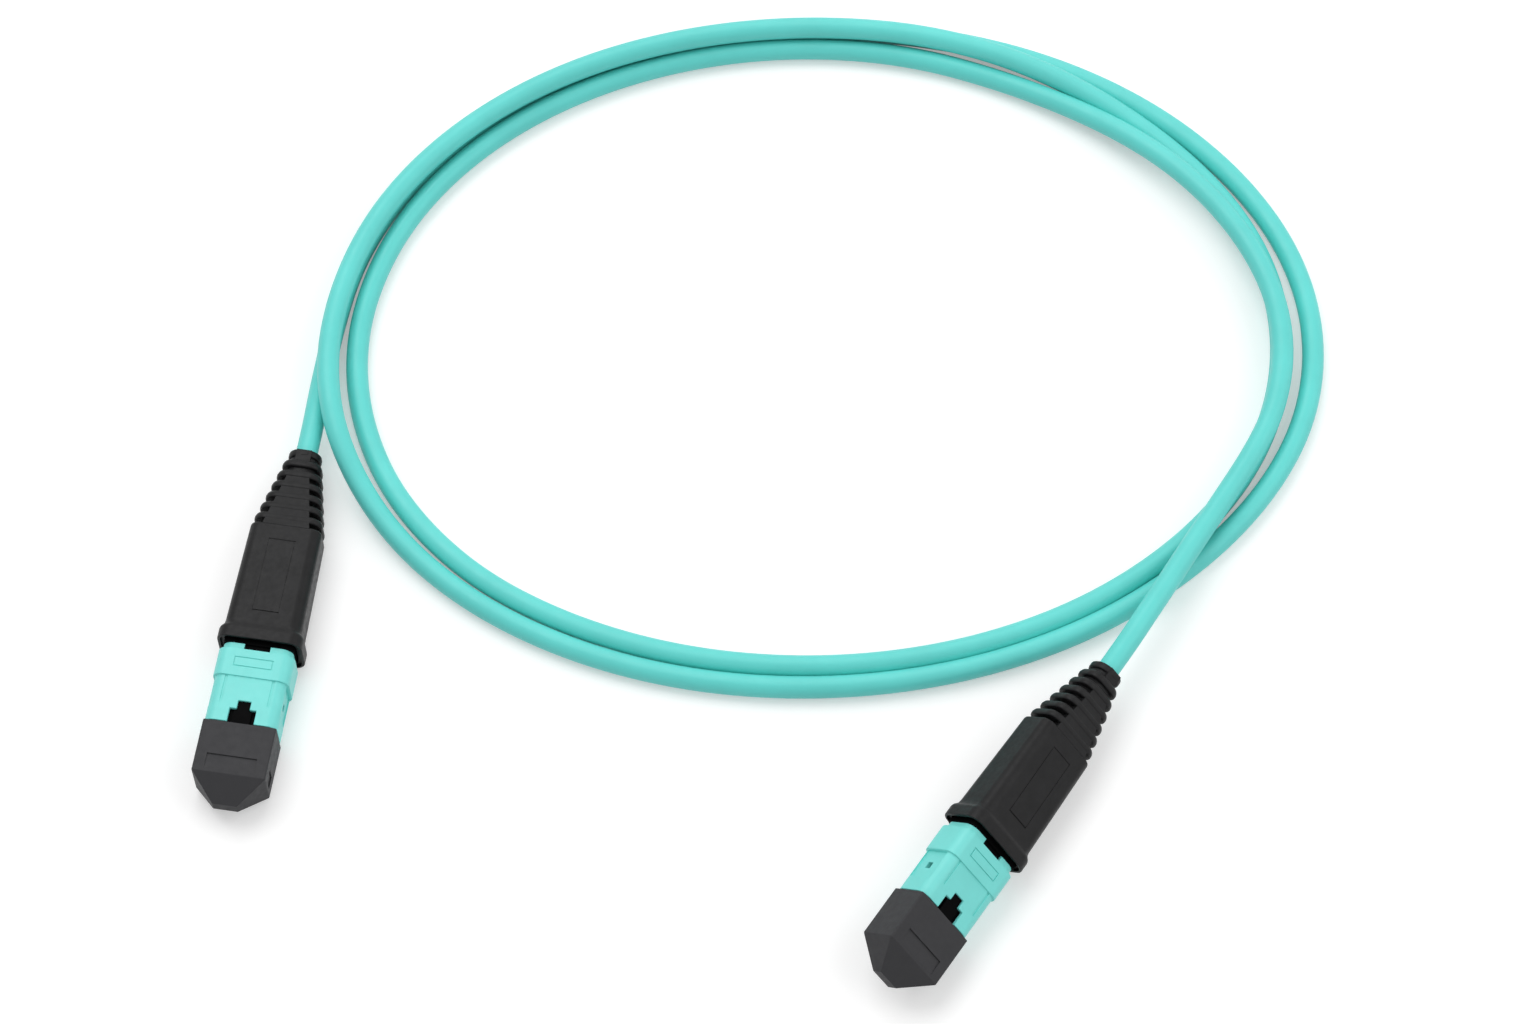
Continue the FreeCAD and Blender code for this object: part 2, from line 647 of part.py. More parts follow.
def make_strain_relief(label):
    """One-piece moulded boot: hollow flange, tapered grip and slotted ribs."""
    body = new_body(label)
    collar_front = BOOT_TIP + " + collar_length"
    # core that the ribs stand on
    core_rear = new_sketch(body, label + "_core_rear_sketch", shift=("0", "0", BOOT_TIP))
    add_rounded_rectangle(core_rear, "core_tip_width", "core_tip_height", "core_corner")
    core_front = new_sketch(body, label + "_core_front_sketch", shift=("0", "0", BOOT_REAR))
    add_rounded_rectangle(core_front, "core_base_width", "core_base_height", "core_corner")
    loft(body, label + "_core", [core_rear, core_front])
    slab(
        body, label + "_collar", "collar_width", "collar_height", "collar_height / 2 - rib_edge",
        BOOT_TIP, "collar_length",
    )
    for index in range(int(size("rib_count"))):
        share = "%d / ( rib_count - 1 )" % index
        width = "rib_tip_width + ( rib_base_width - rib_tip_width ) * " + share
        height = "rib_tip_height + ( rib_base_height - rib_tip_height ) * " + share
        rear = collar_front + " + rib_gap + %d * rib_pitch" % index
        name = "%s_rib_%d" % (label, index + 1)
        rib = slab(body, name, width, height, "rib_corner", rear, "rib_pitch - rib_gap")
        for side, level in (("rear", size(rear)), ("front", size(rear + " + rib_pitch - rib_gap"))):
            edges = rim_edges(rib, level, width, height)
            rib = chamfer(body, name + "_" + side + "_edge", rib, edges, "rib_edge")
    # bridge between the collar and the first rib, and spines that widen towards the grip
    box = new_sketch(body, label + "_bridge_sketch", shift=("0", "0", BOOT_TIP))
    add_rectangle(box, "collar_bridge_width", "collar_height")
    pad(body, label + "_bridge", box, "collar_length + rib_gap + rib_edge")
    spine_base = collar_front + " + rib_gap + rib_pitch + rib_edge"
    spine_rear = new_sketch(body, label + "_spine_rear_sketch", shift=("0", "0", spine_base))
    rise = "( rib_base_height - rib_tip_height ) / ( rib_count - 1 )"
    add_rectangle(spine_rear, "spine_tip_width", "rib_tip_height + " + rise + " - 2 * spine_step")
    spine_front = new_sketch(body, label + "_spine_front_sketch", shift=("0", "0", BOOT_REAR))
    add_rectangle(spine_front, "spine_base_width", "boot_rear_height - 2 * spine_step")
    loft(body, label + "_spine", [spine_rear, spine_front])
    grip_rear = new_sketch(body, label + "_grip_rear_sketch", shift=("0", "0", BOOT_REAR))
    add_rounded_rectangle(grip_rear, "boot_rear_width", "boot_rear_height", "boot_corner")
    grip_front = new_sketch(body, label + "_grip_front_sketch", shift=("0", "0", FLANGE_REAR))
    add_rounded_rectangle(grip_front, "boot_front_width", "boot_front_height", "boot_corner")
    loft(body, label + "_grip", [grip_rear, grip_front])
    rim = slab(
        body, label + "_flange", "flange_width", "flange_height", "flange_corner", FLANGE_REAR, "flange_length"
    )
    edges = rim_edges(rim, size(FLANGE_REAR), "flange_width", "flange_height")
    rim = chamfer(body, label + "_flange_shoulder", rim, edges, "flange_shoulder")
    edges = rim_edges(rim, size("0 - flange_gap"), "flange_width", "flange_height")
    chamfer(body, label + "_flange_rim", rim, edges, "flange_rim")
    # two-step hollow that the coupling and its ring slide back into
    mouth = new_sketch(body, label + "_mouth_sketch", shift=("0", "0", "0 - flange_gap - mouth_depth"))
    add_rounded_rectangle(
        mouth, "body_width + 2 * band_step + 2 * hollow_clearance",
        "body_height + 2 * band_step + 2 * hollow_clearance", "coupling_corner + band_step + hollow_clearance",
    )
    cut(body, label + "_mouth", mouth, "mouth_depth")
    hollow_rear = "0 - lip_length - ring_length - coupling_travel - hollow_spare"
    hollow = new_sketch(body, label + "_hollow_sketch", shift=("0", "0", hollow_rear))
    add_rounded_rectangle(
        hollow, "body_width - 2 * slide_clearance", "body_height - slide_clearance", "coupling_corner"
    )
    cut(body, label + "_hollow", hollow, "0 - flange_gap - ( " + hollow_rear + " )")
    seat = new_sketch(body, label + "_seat_sketch", shift=("0", "0", POST_REAR))
    add_rounded_rectangle(seat, CAVITY_WIDTH, CAVITY_HEIGHT, "plug_corner + slide_clearance")
    cut(body, label + "_seat", seat, "post_block_length + plug_rear_length")
    crimp_room = new_sketch(
        body, label + "_crimp_room_sketch", shift=("0", "0", TUBE_REAR + " - crimp_wall - crimp_tail_length")
    )
    add_circle(crimp_room, "post_tube_radius + crimp_wall + slide_clearance")
    cut(body, label + "_crimp_room", crimp_room, "crimp_wall + crimp_tail_length + post_tube_length")
    bore = new_sketch(body, label + "_bore_sketch", shift=("0", "0", BOOT_TIP))
    add_circle(bore, "cable_radius + boot_bore_clearance")
    cut(body, label + "_bore", bore, "0 - ( " + BOOT_TIP + " ) - flange_gap")
    for face in ("top", "bottom"):
        outline_cut(
            body, label + "_panel_" + face, "panel_width", "panel_length", "plug_corner", "panel_line",
            FLANGE_REAR + " - boot_body_length / 2", "boot_rear_height / 2 - panel_depth",
            "boot_front_height / 4", face,
        )
    return body


def make_dust_cap(label):
    """Push-on cap: a box of the coupling's section with a four-sided point."""
    body = new_body(label)
    box = new_sketch(body, label + "_box_sketch", shift=("0", "0", CAP_REAR))
    add_rounded_rectangle(box, "body_width", "body_height", "cap_corner")
    pad(body, label + "_box", box, "cap_length")
    base = new_sketch(body, label + "_base_sketch", shift=("0", "0", CAP_FRONT))
    add_rounded_rectangle(base, "body_width", "body_height", "cap_corner")
    tip = new_sketch(body, label + "_tip_sketch", shift=("0", "0", CAP_FRONT + " + cap_tip_length"))
    add_rounded_rectangle(tip, "cap_tip_width", "cap_tip_height", "cap_corner")
    loft(body, label + "_point", [base, tip])
    inside = new_sketch(body, label + "_inside_sketch", shift=("0", "0", CAP_REAR))
    add_rounded_rectangle(inside, CAVITY_WIDTH, CAVITY_HEIGHT, "plug_corner + slide_clearance")
    cut(body, label + "_inside", inside, "nose_length - cap_gap + ferrule_reach + cap_front_space")
    box_cut(
        body, label + "_key_room", "key_width + 2 * slide_clearance", "2 * key_height + 2 * slide_clearance",
        "nose_length - cap_gap", ("0", "plug_height / 2", CAP_REAR),
    )
    for face, up in (("top", "1"), ("bottom", "-1")):
        box_cut(
            body, label + "_panel_" + face, "cap_panel_width", "2 * cap_panel_depth", "cap_panel_length",
            ("0", "body_height / 2 * " + up, CAP_FRONT + " - cap_panel_margin - cap_panel_length"),
        )
    box_cut(
        body, label + "_side_panel", "2 * cap_panel_depth", "cap_side_height", "cap_side_length",
        ("body_width / 2", "0", CAP_FRONT + " - cap_panel_margin - cap_side_length"),
    )
    return body


def make_fibre_ribbon(label):
    body = new_body(label)
    sketch = new_sketch(body, label + "_sketch", shift=("0", "0", TUBE_REAR))
    add_rectangle(sketch, "ribbon_width", "ribbon_thickness")
    length = "0 - ( " + TUBE_REAR + " ) + " + FERRULE_REAR + " + sleeve_depth / 2"
    pad(body, label + "_strip", sketch, length)
    return body


def make_cable_end(label):
    """The cable's own end inside the boot, from the crimp to the boot's tip."""
    body = new_body(label)
    sketch = new_sketch(body, label + "_sketch", shift=("0", "0", BOOT_TIP))
    add_circle(sketch, "cable_radius")
    pad(body, label + "_core", sketch, TUBE_REAR + " - ( " + BOOT_TIP + " )")
    return body


def make_spring(label, radius, wire, rear, length, turns, x="0"):
    """Compression spring along z: six-sided wire wound in straight steps, with closed ends."""
    middle, reach = size(radius), size(wire) / 2
    rise = size(length) - 2 * reach
    steps = SPRING_STEPS * turns
    rings = []
    for step in range(steps + 1):
        around = 2 * math.pi * step / SPRING_STEPS
        outward = FreeCAD.Vector(math.cos(around), math.sin(around), 0)
        centre = outward * middle + FreeCAD.Vector(size(x), 0, size(rear) + reach + rise * step / steps)
        ring = []
        for side in range(SPRING_SIDES):
            turn = 2 * math.pi * side / SPRING_SIDES
            ring.append(centre + outward * reach * math.cos(turn) + FreeCAD.Vector(0, 0, reach * math.sin(turn)))
        rings.append(ring)
    faces = [Part.Face(Part.makePolygon(ring + ring[:1])) for ring in (rings[0], rings[-1])]
    for ring, following in zip(rings, rings[1:]):
        for side in range(SPRING_SIDES):
            other = (side + 1) % SPRING_SIDES
            for corners in (
                (ring[side], ring[other], following[other]), (ring[side], following[other], following[side])
            ):
                faces.append(Part.Face(Part.makePolygon(list(corners) + [corners[0]])))
    solid = Part.Solid(Part.Shell(faces))
    if solid.Volume < 0:
        solid.reverse()
    feature = document.addObject("Part::Feature", label)
    feature.Label = label
    feature.Shape = solid
    return feature


def make_connector(end):
    """All pieces of one connector, in the connector frame."""
    spring_rear = "side_spring_front - side_spring_length"
    pieces = [
        make_dust_cap(end + "_dust_cap"),
        make_coupling(end + "_coupling"),
        make_retaining_ring(end + "_retaining_ring"),
        make_plug_housing(end + "_plug_housing"),
        make_ferrule(end + "_ferrule"),
        make_pin_keeper(end + "_pin_keeper"),
        make_ferrule_sleeve(end + "_ferrule_sleeve"),
        make_back_post(end + "_back_post"),
        make_crimp_ring(end + "_crimp_ring"),
        make_strain_relief(end + "_strain_relief"),
        make_fibre_ribbon(end + "_fibre_ribbon"),
        make_cable_end(end + "_cable_end"),
    ]
    post_front = "post_front_length - plug_rear_length"
    pieces.append(
        make_spring(
            end + "_ferrule_spring", "ferrule_spring_radius", "ferrule_spring_wire", post_front,
            KEEPER_REAR + " - ( " + post_front + " )", 5,
        )
    )
    for side, sign in (("left", "-1"), ("right", "1")):
        pieces.append(
            make_spring(
                end + "_coupling_spring_" + side, "side_spring_radius", "side_spring_wire", spring_rear,
                "side_spring_length", 7, "( plug_width / 2 + slide_clearance / 2 ) * " + sign,
            )
        )
    return pieces


# ------------------------------------------------------------------------- placing


def near_end_placement():
    """Connector A: level, key side up, nose towards -Y, middle of its length at Y = 0."""
    middle = (size(CAP_FRONT + " + cap_tip_length") + size(BOOT_TIP)) / 2
    x_axis = FreeCAD.Vector(1, 0, 0)
    y_axis = FreeCAD.Vector(0, 0, 1)
    z_axis = FreeCAD.Vector(0, -1, 0)
    base = FreeCAD.Vector(0, middle, size("flange_height / 2"))
    return FreeCAD.Placement(base, FreeCAD.Rotation(x_axis, y_axis, z_axis, "ZXY"))


def far_end_placement():
    """Connector B: resting on a long edge of its flange, rolled back by the cable's twist."""
    heading, roll = math.radians(FAR_END_HEADING_DEG), math.radians(FAR_END_ROLL_DEG)
    nose = FreeCAD.Vector(-math.sin(heading), -math.cos(heading), 0)
    side = FreeCAD.Vector(0, 0, 1).cross(nose)
    x_axis = side * math.sin(roll) - FreeCAD.Vector(0, 0, 1) * math.cos(roll)
    y_axis = nose.cross(x_axis)
    corner = size("flange_corner")
    low = (size("flange_width / 2") - corner) * math.cos(roll)
    low += (size("flange_height / 2") - corner) * math.sin(roll) + corner
    base = FreeCAD.Vector(*FAR_END_PLACE, low)
    return FreeCAD.Placement(base, FreeCAD.Rotation(x_axis, y_axis, nose, "ZXY"))


# --------------------------------------------------------------------- loose cable


def tangent_arc_path(points):
    """Straight runs joined by tangent arcs, each as large as its two runs allow."""
    edges = []
    start = points[0]
    for before, corner, after in zip(points, points[1:], points[2:]):
        incoming, outgoing = (corner - before), (after - corner)
        run = 0.45 * min(incoming.Length, outgoing.Length)
        turn = incoming.getAngle(outgoing)
        radius = run / math.tan(turn / 2)
        print("arc radius %.1f mm" % radius)
        incoming.normalize()
        outgoing.normalize()
        arc_start, arc_end = corner - incoming * run, corner + outgoing * run
        bisector = (outgoing - incoming).normalize()
        middle = corner + bisector * (radius / math.cos(turn / 2) - radius)
        edges.append(Part.LineSegment(start, arc_start).toShape())
        edges.append(Part.Arc(arc_start, middle, arc_end).toShape())
        start = arc_end
    edges.append(Part.LineSegment(start, points[-1]).toShape())
    return Part.Wire(edges)


def make_cable(label, placement, route):
    """Tube from the boot's tip along the route's points."""
    exit_point = placement.multVec(FreeCAD.Vector(0, 0, size(BOOT_TIP)))
    straight = placement.multVec(FreeCAD.Vector(0, 0, size(BOOT_TIP) - CABLE_STRAIGHT_RUN))
    print("%s leaves at (%.2f, %.2f, %.2f), then (%.2f, %.2f, %.2f)" % (label, *exit_point, *straight))
    path = tangent_arc_path([exit_point, straight] + [FreeCAD.Vector(*point) for point in route])
    radius = size("cable_radius")
    direction = path.Edges[0].tangentAt(path.Edges[0].FirstParameter)
    section = Part.Wire(Part.makeCircle(radius, exit_point, direction))
    tube = path.makePipeShell([section], True, False)
    expected = math.pi * radius ** 2 * path.Length
    print("%s: length %.1f mm, volume %.1f of %.1f mm3" % (label, path.Length, tube.Volume, expected))
    feature = document.addObject("Part::Feature", label)
    feature.Label = label
    feature.Shape = tube
    return feature


def oval_wire(offset):
    """Four tangent arcs around the coil's middle line, moved outwards by the offset."""
    length, width, end = size("coil_half_length"), size("coil_half_width"), size("coil_end_radius")
    side = (width ** 2 + length ** 2 - 2 * length * end) / (2 * (width - end))
    along = FreeCAD.Vector(length - end, side - width, 0).normalize()
    corner = FreeCAD.Vector(length - end, 0, 0) + along * (end + offset)
    corners = [FreeCAD.Vector(x * corner.x, y * corner.y, 0) for x, y in ((1, -1), (1, 1), (-1, 1), (-1, -1))]
    reach_x, reach_y = length + offset, width + offset
    crests = [FreeCAD.Vector(*crest, 0) for crest in ((reach_x, 0), (0, reach_y), (-reach_x, 0), (0, -reach_y))]
    arcs = []
    for index, crest in enumerate(crests):
        arcs.append(Part.Arc(corners[index], crest, corners[(index + 1) % 4]).toShape())
    return Part.Wire(arcs)


def make_coil(label):
    """Outer shape of the loose coil: an oval ring with bevelled edges, one layer high in front."""
    height = size("2 * cable_radius * coil_layers")
    outer, inner = Part.Face(oval_wire(size("coil_band / 2"))), Part.Face(oval_wire(size("0 - coil_band / 2")))
    ring = outer.cut(inner).extrude(FreeCAD.Vector(0, 0, height))
    rims = [edge for edge in ring.Edges if edge.BoundBox.ZLength < 1e-6]
    ring = ring.makeChamfer(size("coil_edge"), rims)
    centre = FreeCAD.Vector(*COIL_CENTRE, 0)
    ring.rotate(FreeCAD.Vector(0, 0, 0), FreeCAD.Vector(0, 0, 1), COIL_TURN_DEG)
    ring.translate(centre)
    reach = 2 * size("coil_half_length")
    front = Part.makeBox(2 * reach, reach, height, centre - FreeCAD.Vector(reach, 0, 0))
    front.translate(FreeCAD.Vector(0, COIL_SINGLE_LAYER_Y - reach - centre.y, height / size("coil_layers")))
    feature = document.addObject("Part::Feature", label)
    feature.Label = label
    feature.Shape = ring.cut(front)
    return feature


# --------------------------------------------------------------------------- build

near_end, far_end = near_end_placement(), far_end_placement()
parts = []
for end, placement in (("end_a", near_end), ("end_b", far_end)):
    pieces = make_connector(end)
    for piece in pieces:
        piece.Placement = placement
    parts.extend(pieces)
parts.append(make_cable("end_a_cable", near_end, CABLE_A_POINTS))
parts.append(make_cable("end_b_cable", far_end, CABLE_B_POINTS))
parts.append(make_coil("cable_coil"))
document.recompute()

for item in document.Objects:
    if "Invalid" in item.State or "Error" in item.State:
        raise RuntimeError("failed: " + item.Label)

os.makedirs("parts", exist_ok=True)
for part in parts:
    if part.Shape.isNull() or not part.Shape.isValid():
        raise RuntimeError("bad shape: " + part.Label)
    part.Shape.exportStep("parts/" + part.Label + ".step")
print(len(parts), "sub-parts")
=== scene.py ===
"""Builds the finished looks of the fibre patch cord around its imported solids."""

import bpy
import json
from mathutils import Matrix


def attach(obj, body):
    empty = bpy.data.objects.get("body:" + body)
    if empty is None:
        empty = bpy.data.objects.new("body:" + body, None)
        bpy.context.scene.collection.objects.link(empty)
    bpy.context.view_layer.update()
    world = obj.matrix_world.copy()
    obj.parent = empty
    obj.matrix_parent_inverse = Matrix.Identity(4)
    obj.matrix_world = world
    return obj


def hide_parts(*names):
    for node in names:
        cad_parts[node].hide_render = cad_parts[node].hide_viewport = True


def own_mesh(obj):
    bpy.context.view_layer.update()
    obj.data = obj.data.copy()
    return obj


bl_info = {
    "name": "Fibre patch cord",
    "version": (1, 0, 0),
    "blender": (4, 2, 0),
    "location": "View3D > Sidebar > Patch cord",
    "description": "Models and dresses a push-pull multi-fibre patch cord",
    "category": "Add Mesh",
}

import json
import math
from collections import namedtuple

import bmesh
import bpy
from mathutils import Matrix, Vector

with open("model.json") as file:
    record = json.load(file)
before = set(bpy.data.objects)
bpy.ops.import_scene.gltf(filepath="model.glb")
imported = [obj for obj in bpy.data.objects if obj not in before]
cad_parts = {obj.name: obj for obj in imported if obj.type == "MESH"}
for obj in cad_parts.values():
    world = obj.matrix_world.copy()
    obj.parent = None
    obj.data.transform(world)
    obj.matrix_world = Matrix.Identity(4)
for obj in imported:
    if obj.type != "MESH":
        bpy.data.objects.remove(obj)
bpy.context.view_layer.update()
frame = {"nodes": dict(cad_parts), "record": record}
MOUNTS = {mount["name"]: mount for mount in frame["record"]["mounts"]}

MM = 0.001
SMALL = 1e-6
ENDS = ("end_a", "end_b")
# The mount that each connector's frame is placed by, its distance from that frame's origin in mm,
# and how far each connector is rolled about its length, in degrees.
NOSE_MOUNT = {"end_a": "plug_nose", "end_b": "far_plug_nose"}
NOSE_REACH = 21.3
ROLL = {"end_a": 90.0, "end_b": 46.0}
# The modelled pieces of each end, in the order in which they are made.
LOOKS = {end: [] for end in ENDS}


# ---------------------------------------------------------------- connector sizes, in mm

# Width and height of each section across the connector.
CAP = (12.4, 7.7)
CAP_TIP = (4.15, 2.15)
COUPLING = (12.4, 7.7)
BAND = (13.0, 8.3)
LIP = (11.9, 7.2)
PASSAGE = (10.0, 6.2)
PASSAGE_CORNER = 0.9
FLANGE = (14.5, 9.5)
BODY_FRONT = (13.09, 8.65)
BODY_REAR = (12.3, 7.8)
CORE_REAR = (4.8, 4.6)
CORE_FRONT = (9.0, 5.8)
SPINE_REAR = (3.6, 5.9)
SPINE_FRONT = (8.0, 7.6)
# Places along the connector, from its origin at the back of the coupling's band to the nose.
CAP_MOUTH, CAP_SHOULDER, CAP_POINT = 13.4, 22.7, 27.1
LIP_REAR, BAND_REAR, BAND_FRONT, COUPLING_FRONT = -1.2, 0.0, 5.0, 13.3
COLLAR_REAR, COLLAR_FRONT = -39.5, -38.2
WEB_FRONT, BODY_END, FLANGE_REAR, BOOT_FRONT = -24.0, -24.2, -3.6, -1.8
# Where cuts end that open the lip of the coupling or the mouth of the boot.
PAST_LIP = -1.5
# Place, width factor and height factor of each step from the flange into the boot's body.
FLANK = ((-4.0, 0.985, 0.98), (-4.35, 0.965, 0.955), (-4.7, 0.965, 0.97), (-5.4, 0.985, 0.985))
# The ribs: how many, the first one's rear, the step to the next, the first one's width and
# height, and how much wider and higher the last one is.
RIBS = 6
RIB_REAR, RIB_STEP = -37.4, 2.2
RIB_WIDTH, RIB_HEIGHT = 6.9, 5.9
RIB_WIDENS, RIB_RISES = 4.9, 1.6
RIB_GRIP, RIB_FRONT = 0.7, 1.4
# Each spring: the slide that shortens it and that slide's travel, the coil's radius, the wire's
# thickness, the turns, the place across, the fixed rear end and the length.
Spring = namedtuple("Spring", "slide travel radius wire turns across rear length")
SPRINGS = {
    "coupling_spring_left": Spring("coupling_slide", 2.0, 0.55, 0.3, 7, -4.95, -1.0, 5.8),
    "coupling_spring_right": Spring("coupling_slide", 2.0, 0.55, 0.3, 7, 4.95, -1.0, 5.8),
    "ferrule_spring": Spring("ferrule_slide", 0.8, 1.9, 0.45, 5, 0.0, 5.2, 6.8),
}
WIRE_SIDES = 10
COIL_STEPS = 20


# ---------------------------------------------------------------- settings


class CableSettings(bpy.types.PropertyGroup):
    """Size and colour of the cable"""
    diameter: bpy.props.FloatProperty(
        name="Cable diameter", description="Outside diameter of the jacket",
        default=0.0038, min=0.002, max=0.006, precision=4, unit="LENGTH",
    )
    jacket: bpy.props.FloatVectorProperty(
        name="Jacket", description="Colour of the cable jacket",
        default=(0.124, 0.690, 0.645), size=3, min=0.0, max=1.0, subtype="COLOR",
    )


class ConnectorSettings(bpy.types.PropertyGroup):
    """Colours and edges of the connectors"""
    shell: bpy.props.FloatVectorProperty(
        name="Coupling", description="Colour of the sliding couplings",
        default=(0.190, 0.740, 0.695), size=3, min=0.0, max=1.0, subtype="COLOR",
    )
    cap: bpy.props.FloatVectorProperty(
        name="Dust cap", description="Colour of the dust caps",
        default=(0.037, 0.037, 0.040), size=3, min=0.0, max=1.0, subtype="COLOR",
    )
    boot: bpy.props.FloatVectorProperty(
        name="Boot", description="Colour of the strain relief boots",
        default=(0.0075, 0.0075, 0.008), size=3, min=0.0, max=1.0, subtype="COLOR",
    )
    edge: bpy.props.FloatProperty(
        name="Moulded edge", description="Radius of the soft edges left by the mould",
        default=0.00012, min=0.00002, max=0.0003, precision=5, unit="LENGTH",
    )


class StageSettings(bpy.types.PropertyGroup):
    """Where the camera stands and what it takes in"""
    lens: bpy.props.FloatProperty(
        name="Lens", description="Focal length of the camera",
        default=105.5, min=20.0, max=300.0, subtype="DISTANCE_CAMERA",
    )
    distance: bpy.props.FloatProperty(
        name="Distance", description="From the camera to the point that it looks at",
        default=0.771, min=0.1, max=5.0, unit="LENGTH",
    )
    elevation: bpy.props.FloatProperty(
        name="Elevation", description="Height of the camera above the floor, as an angle",
        default=math.radians(62.0), min=0.1, max=1.5, subtype="ANGLE",
    )
    turn: bpy.props.FloatProperty(
        name="Turn", description="How far round the camera stands from the near side",
        default=math.radians(8.8), min=-3.2, max=3.2, subtype="ANGLE",
    )


# ---------------------------------------------------------------- cable route

# Places in mm in the row frame: the cable's way out of end A's boot and into end B's.
NEAR_TAIL = (
    (0.0, 33.3, 4.75), (0.0, 39.3, 4.75), (-0.5, 46.9, 3.4), (-0.8, 53.1, 2.0), (-0.9, 59.5, 1.95),
)
FAR_TAIL = (
    (160.3, 58.55, 5.75), (156.1, 48.7, 5.8), (152.6, 40.7, 6.3), (149.0, 32.0, 6.9),
    (145.6, 24.0, 7.35), (142.86, 17.63, 7.5), (140.27, 12.22, 7.5),
)
# The oval that the coil follows: its middle, half its length and width, its turn in degrees, and
# the degrees from one control point to the next.
OVAL_CENTRE = (82.5, 69.55)
OVAL_REACH = (80.7, 62.0)
OVAL_TURN = 10.1
STEP = 10
# Angle round the oval, distance outside it and height, for each change in how the cable lies.
LAY = (
    (165, 2.9, 1.9), (150, 3.1, 1.9), (135, 3.7, 1.9), (120, 4.2, 1.9), (105, 4.3, 1.9),
    (90, 4.3, 1.9), (75, 4.4, 1.9), (60, 4.9, 1.9), (45, 5.2, 1.9), (30, 5.5, 1.9),
    (15, 6.1, 1.9), (0, 6.4, 1.9), (-18, 5.7, 1.9), (-30, 4.5, 1.9), (-45, 3.7, 1.9),
    (-60, 3.5, 1.9), (-90, 3.6, 1.9), (-105, 3.95, 1.9), (-120, 4.3, 1.9), (-135, 4.6, 1.9),
    (-145, 4.7, 2.0), (-155, 4.7, 3.4), (-165, 4.6, 6.9), (-175, 3.6, 7.3), (-185, 2.8, 6.2),
    (-195, 2.4, 5.8), (-210, 2.3, 5.75), (-225, 2.5, 5.6), (-240, 2.7, 5.5), (-270, 2.55, 5.3),
    (-285, 2.5, 5.3), (-295, 2.2, 4.9), (-305, 1.75, 3.9), (-315, 1.4, 2.6), (-325, 1.3, 1.95),
    (-345, 1.1, 1.9), (-360, 0.7, 1.9), (-375, 0.3, 1.9), (-405, -0.2, 1.9), (-450, -0.25, 1.9),
    (-480, 0.15, 1.9), (-495, 0.5, 1.9), (-512, 0.1, 1.9), (-525, -0.7, 1.9), (-540, -1.3, 1.9),
    (-555, -1.4, 1.9), (-570, -0.9, 1.9), (-585, -0.3, 1.9), (-600, 0.2, 1.9), (-615, 0.4, 1.9),
    (-630, 0.4, 1.9), (-645, -0.3, 1.9), (-655, -1.2, 1.9), (-665, -1.9, 2.6), (-675, -2.2, 3.9),
    (-685, -2.2, 5.2), (-695, -1.8, 5.8), (-705, -0.9, 5.8), (-720, 0.6, 5.75), (-735, 0.6, 5.75),
)


def lay_at(angle):
    """Distance outside the oval and height of the cable at this travelled angle."""
    for (start, offset, height), (end, next_offset, next_height) in zip(LAY, LAY[1:]):
        if start >= angle >= end:
            share = (start - angle) / (start - end)
            return offset + (next_offset - offset) * share, height + (next_height - height) * share
    raise ValueError(angle)


def coil_points():
    """One control point for each step round the loose oval coil."""
    points = []
    tilt = math.radians(OVAL_TURN)
    grow = 1 / math.cos(math.radians(STEP / 2))
    for angle in range(LAY[0][0], LAY[-1][0] - 1, -STEP):
        offset, height = lay_at(angle)
        cos, sin = math.cos(math.radians(angle)), math.sin(math.radians(angle))
        outward = Vector((cos / OVAL_REACH[0], sin / OVAL_REACH[1])).normalized()
        x = (OVAL_REACH[0] * cos + offset * outward.x) * grow
        y = (OVAL_REACH[1] * sin + offset * outward.y) * grow
        points.append((
            OVAL_CENTRE[0] + x * math.cos(tilt) - y * math.sin(tilt),
            OVAL_CENTRE[1] + x * math.sin(tilt) + y * math.cos(tilt),
            height,
        ))
    return points


# ---------------------------------------------------------------- materials


# The range of a noise texture that its values mostly lie in.
NOISE_LOW, NOISE_HIGH = 0.3, 0.7

# Black of the plug plastic, darker than that plastic itself: besides its own black it carries
# painted shade where the plug shows in the key notch.
PLUG_BLACK_AND_NOTCH_SHADE = (0.0026, 0.0026, 0.0028)
FERRULE_GREY = (0.035, 0.035, 0.038)
SLEEVE_BLACK = (0.03, 0.03, 0.03)
STEEL_GREY = (0.62, 0.62, 0.62)
FIBRE_IVORY = (0.70, 0.72, 0.62)


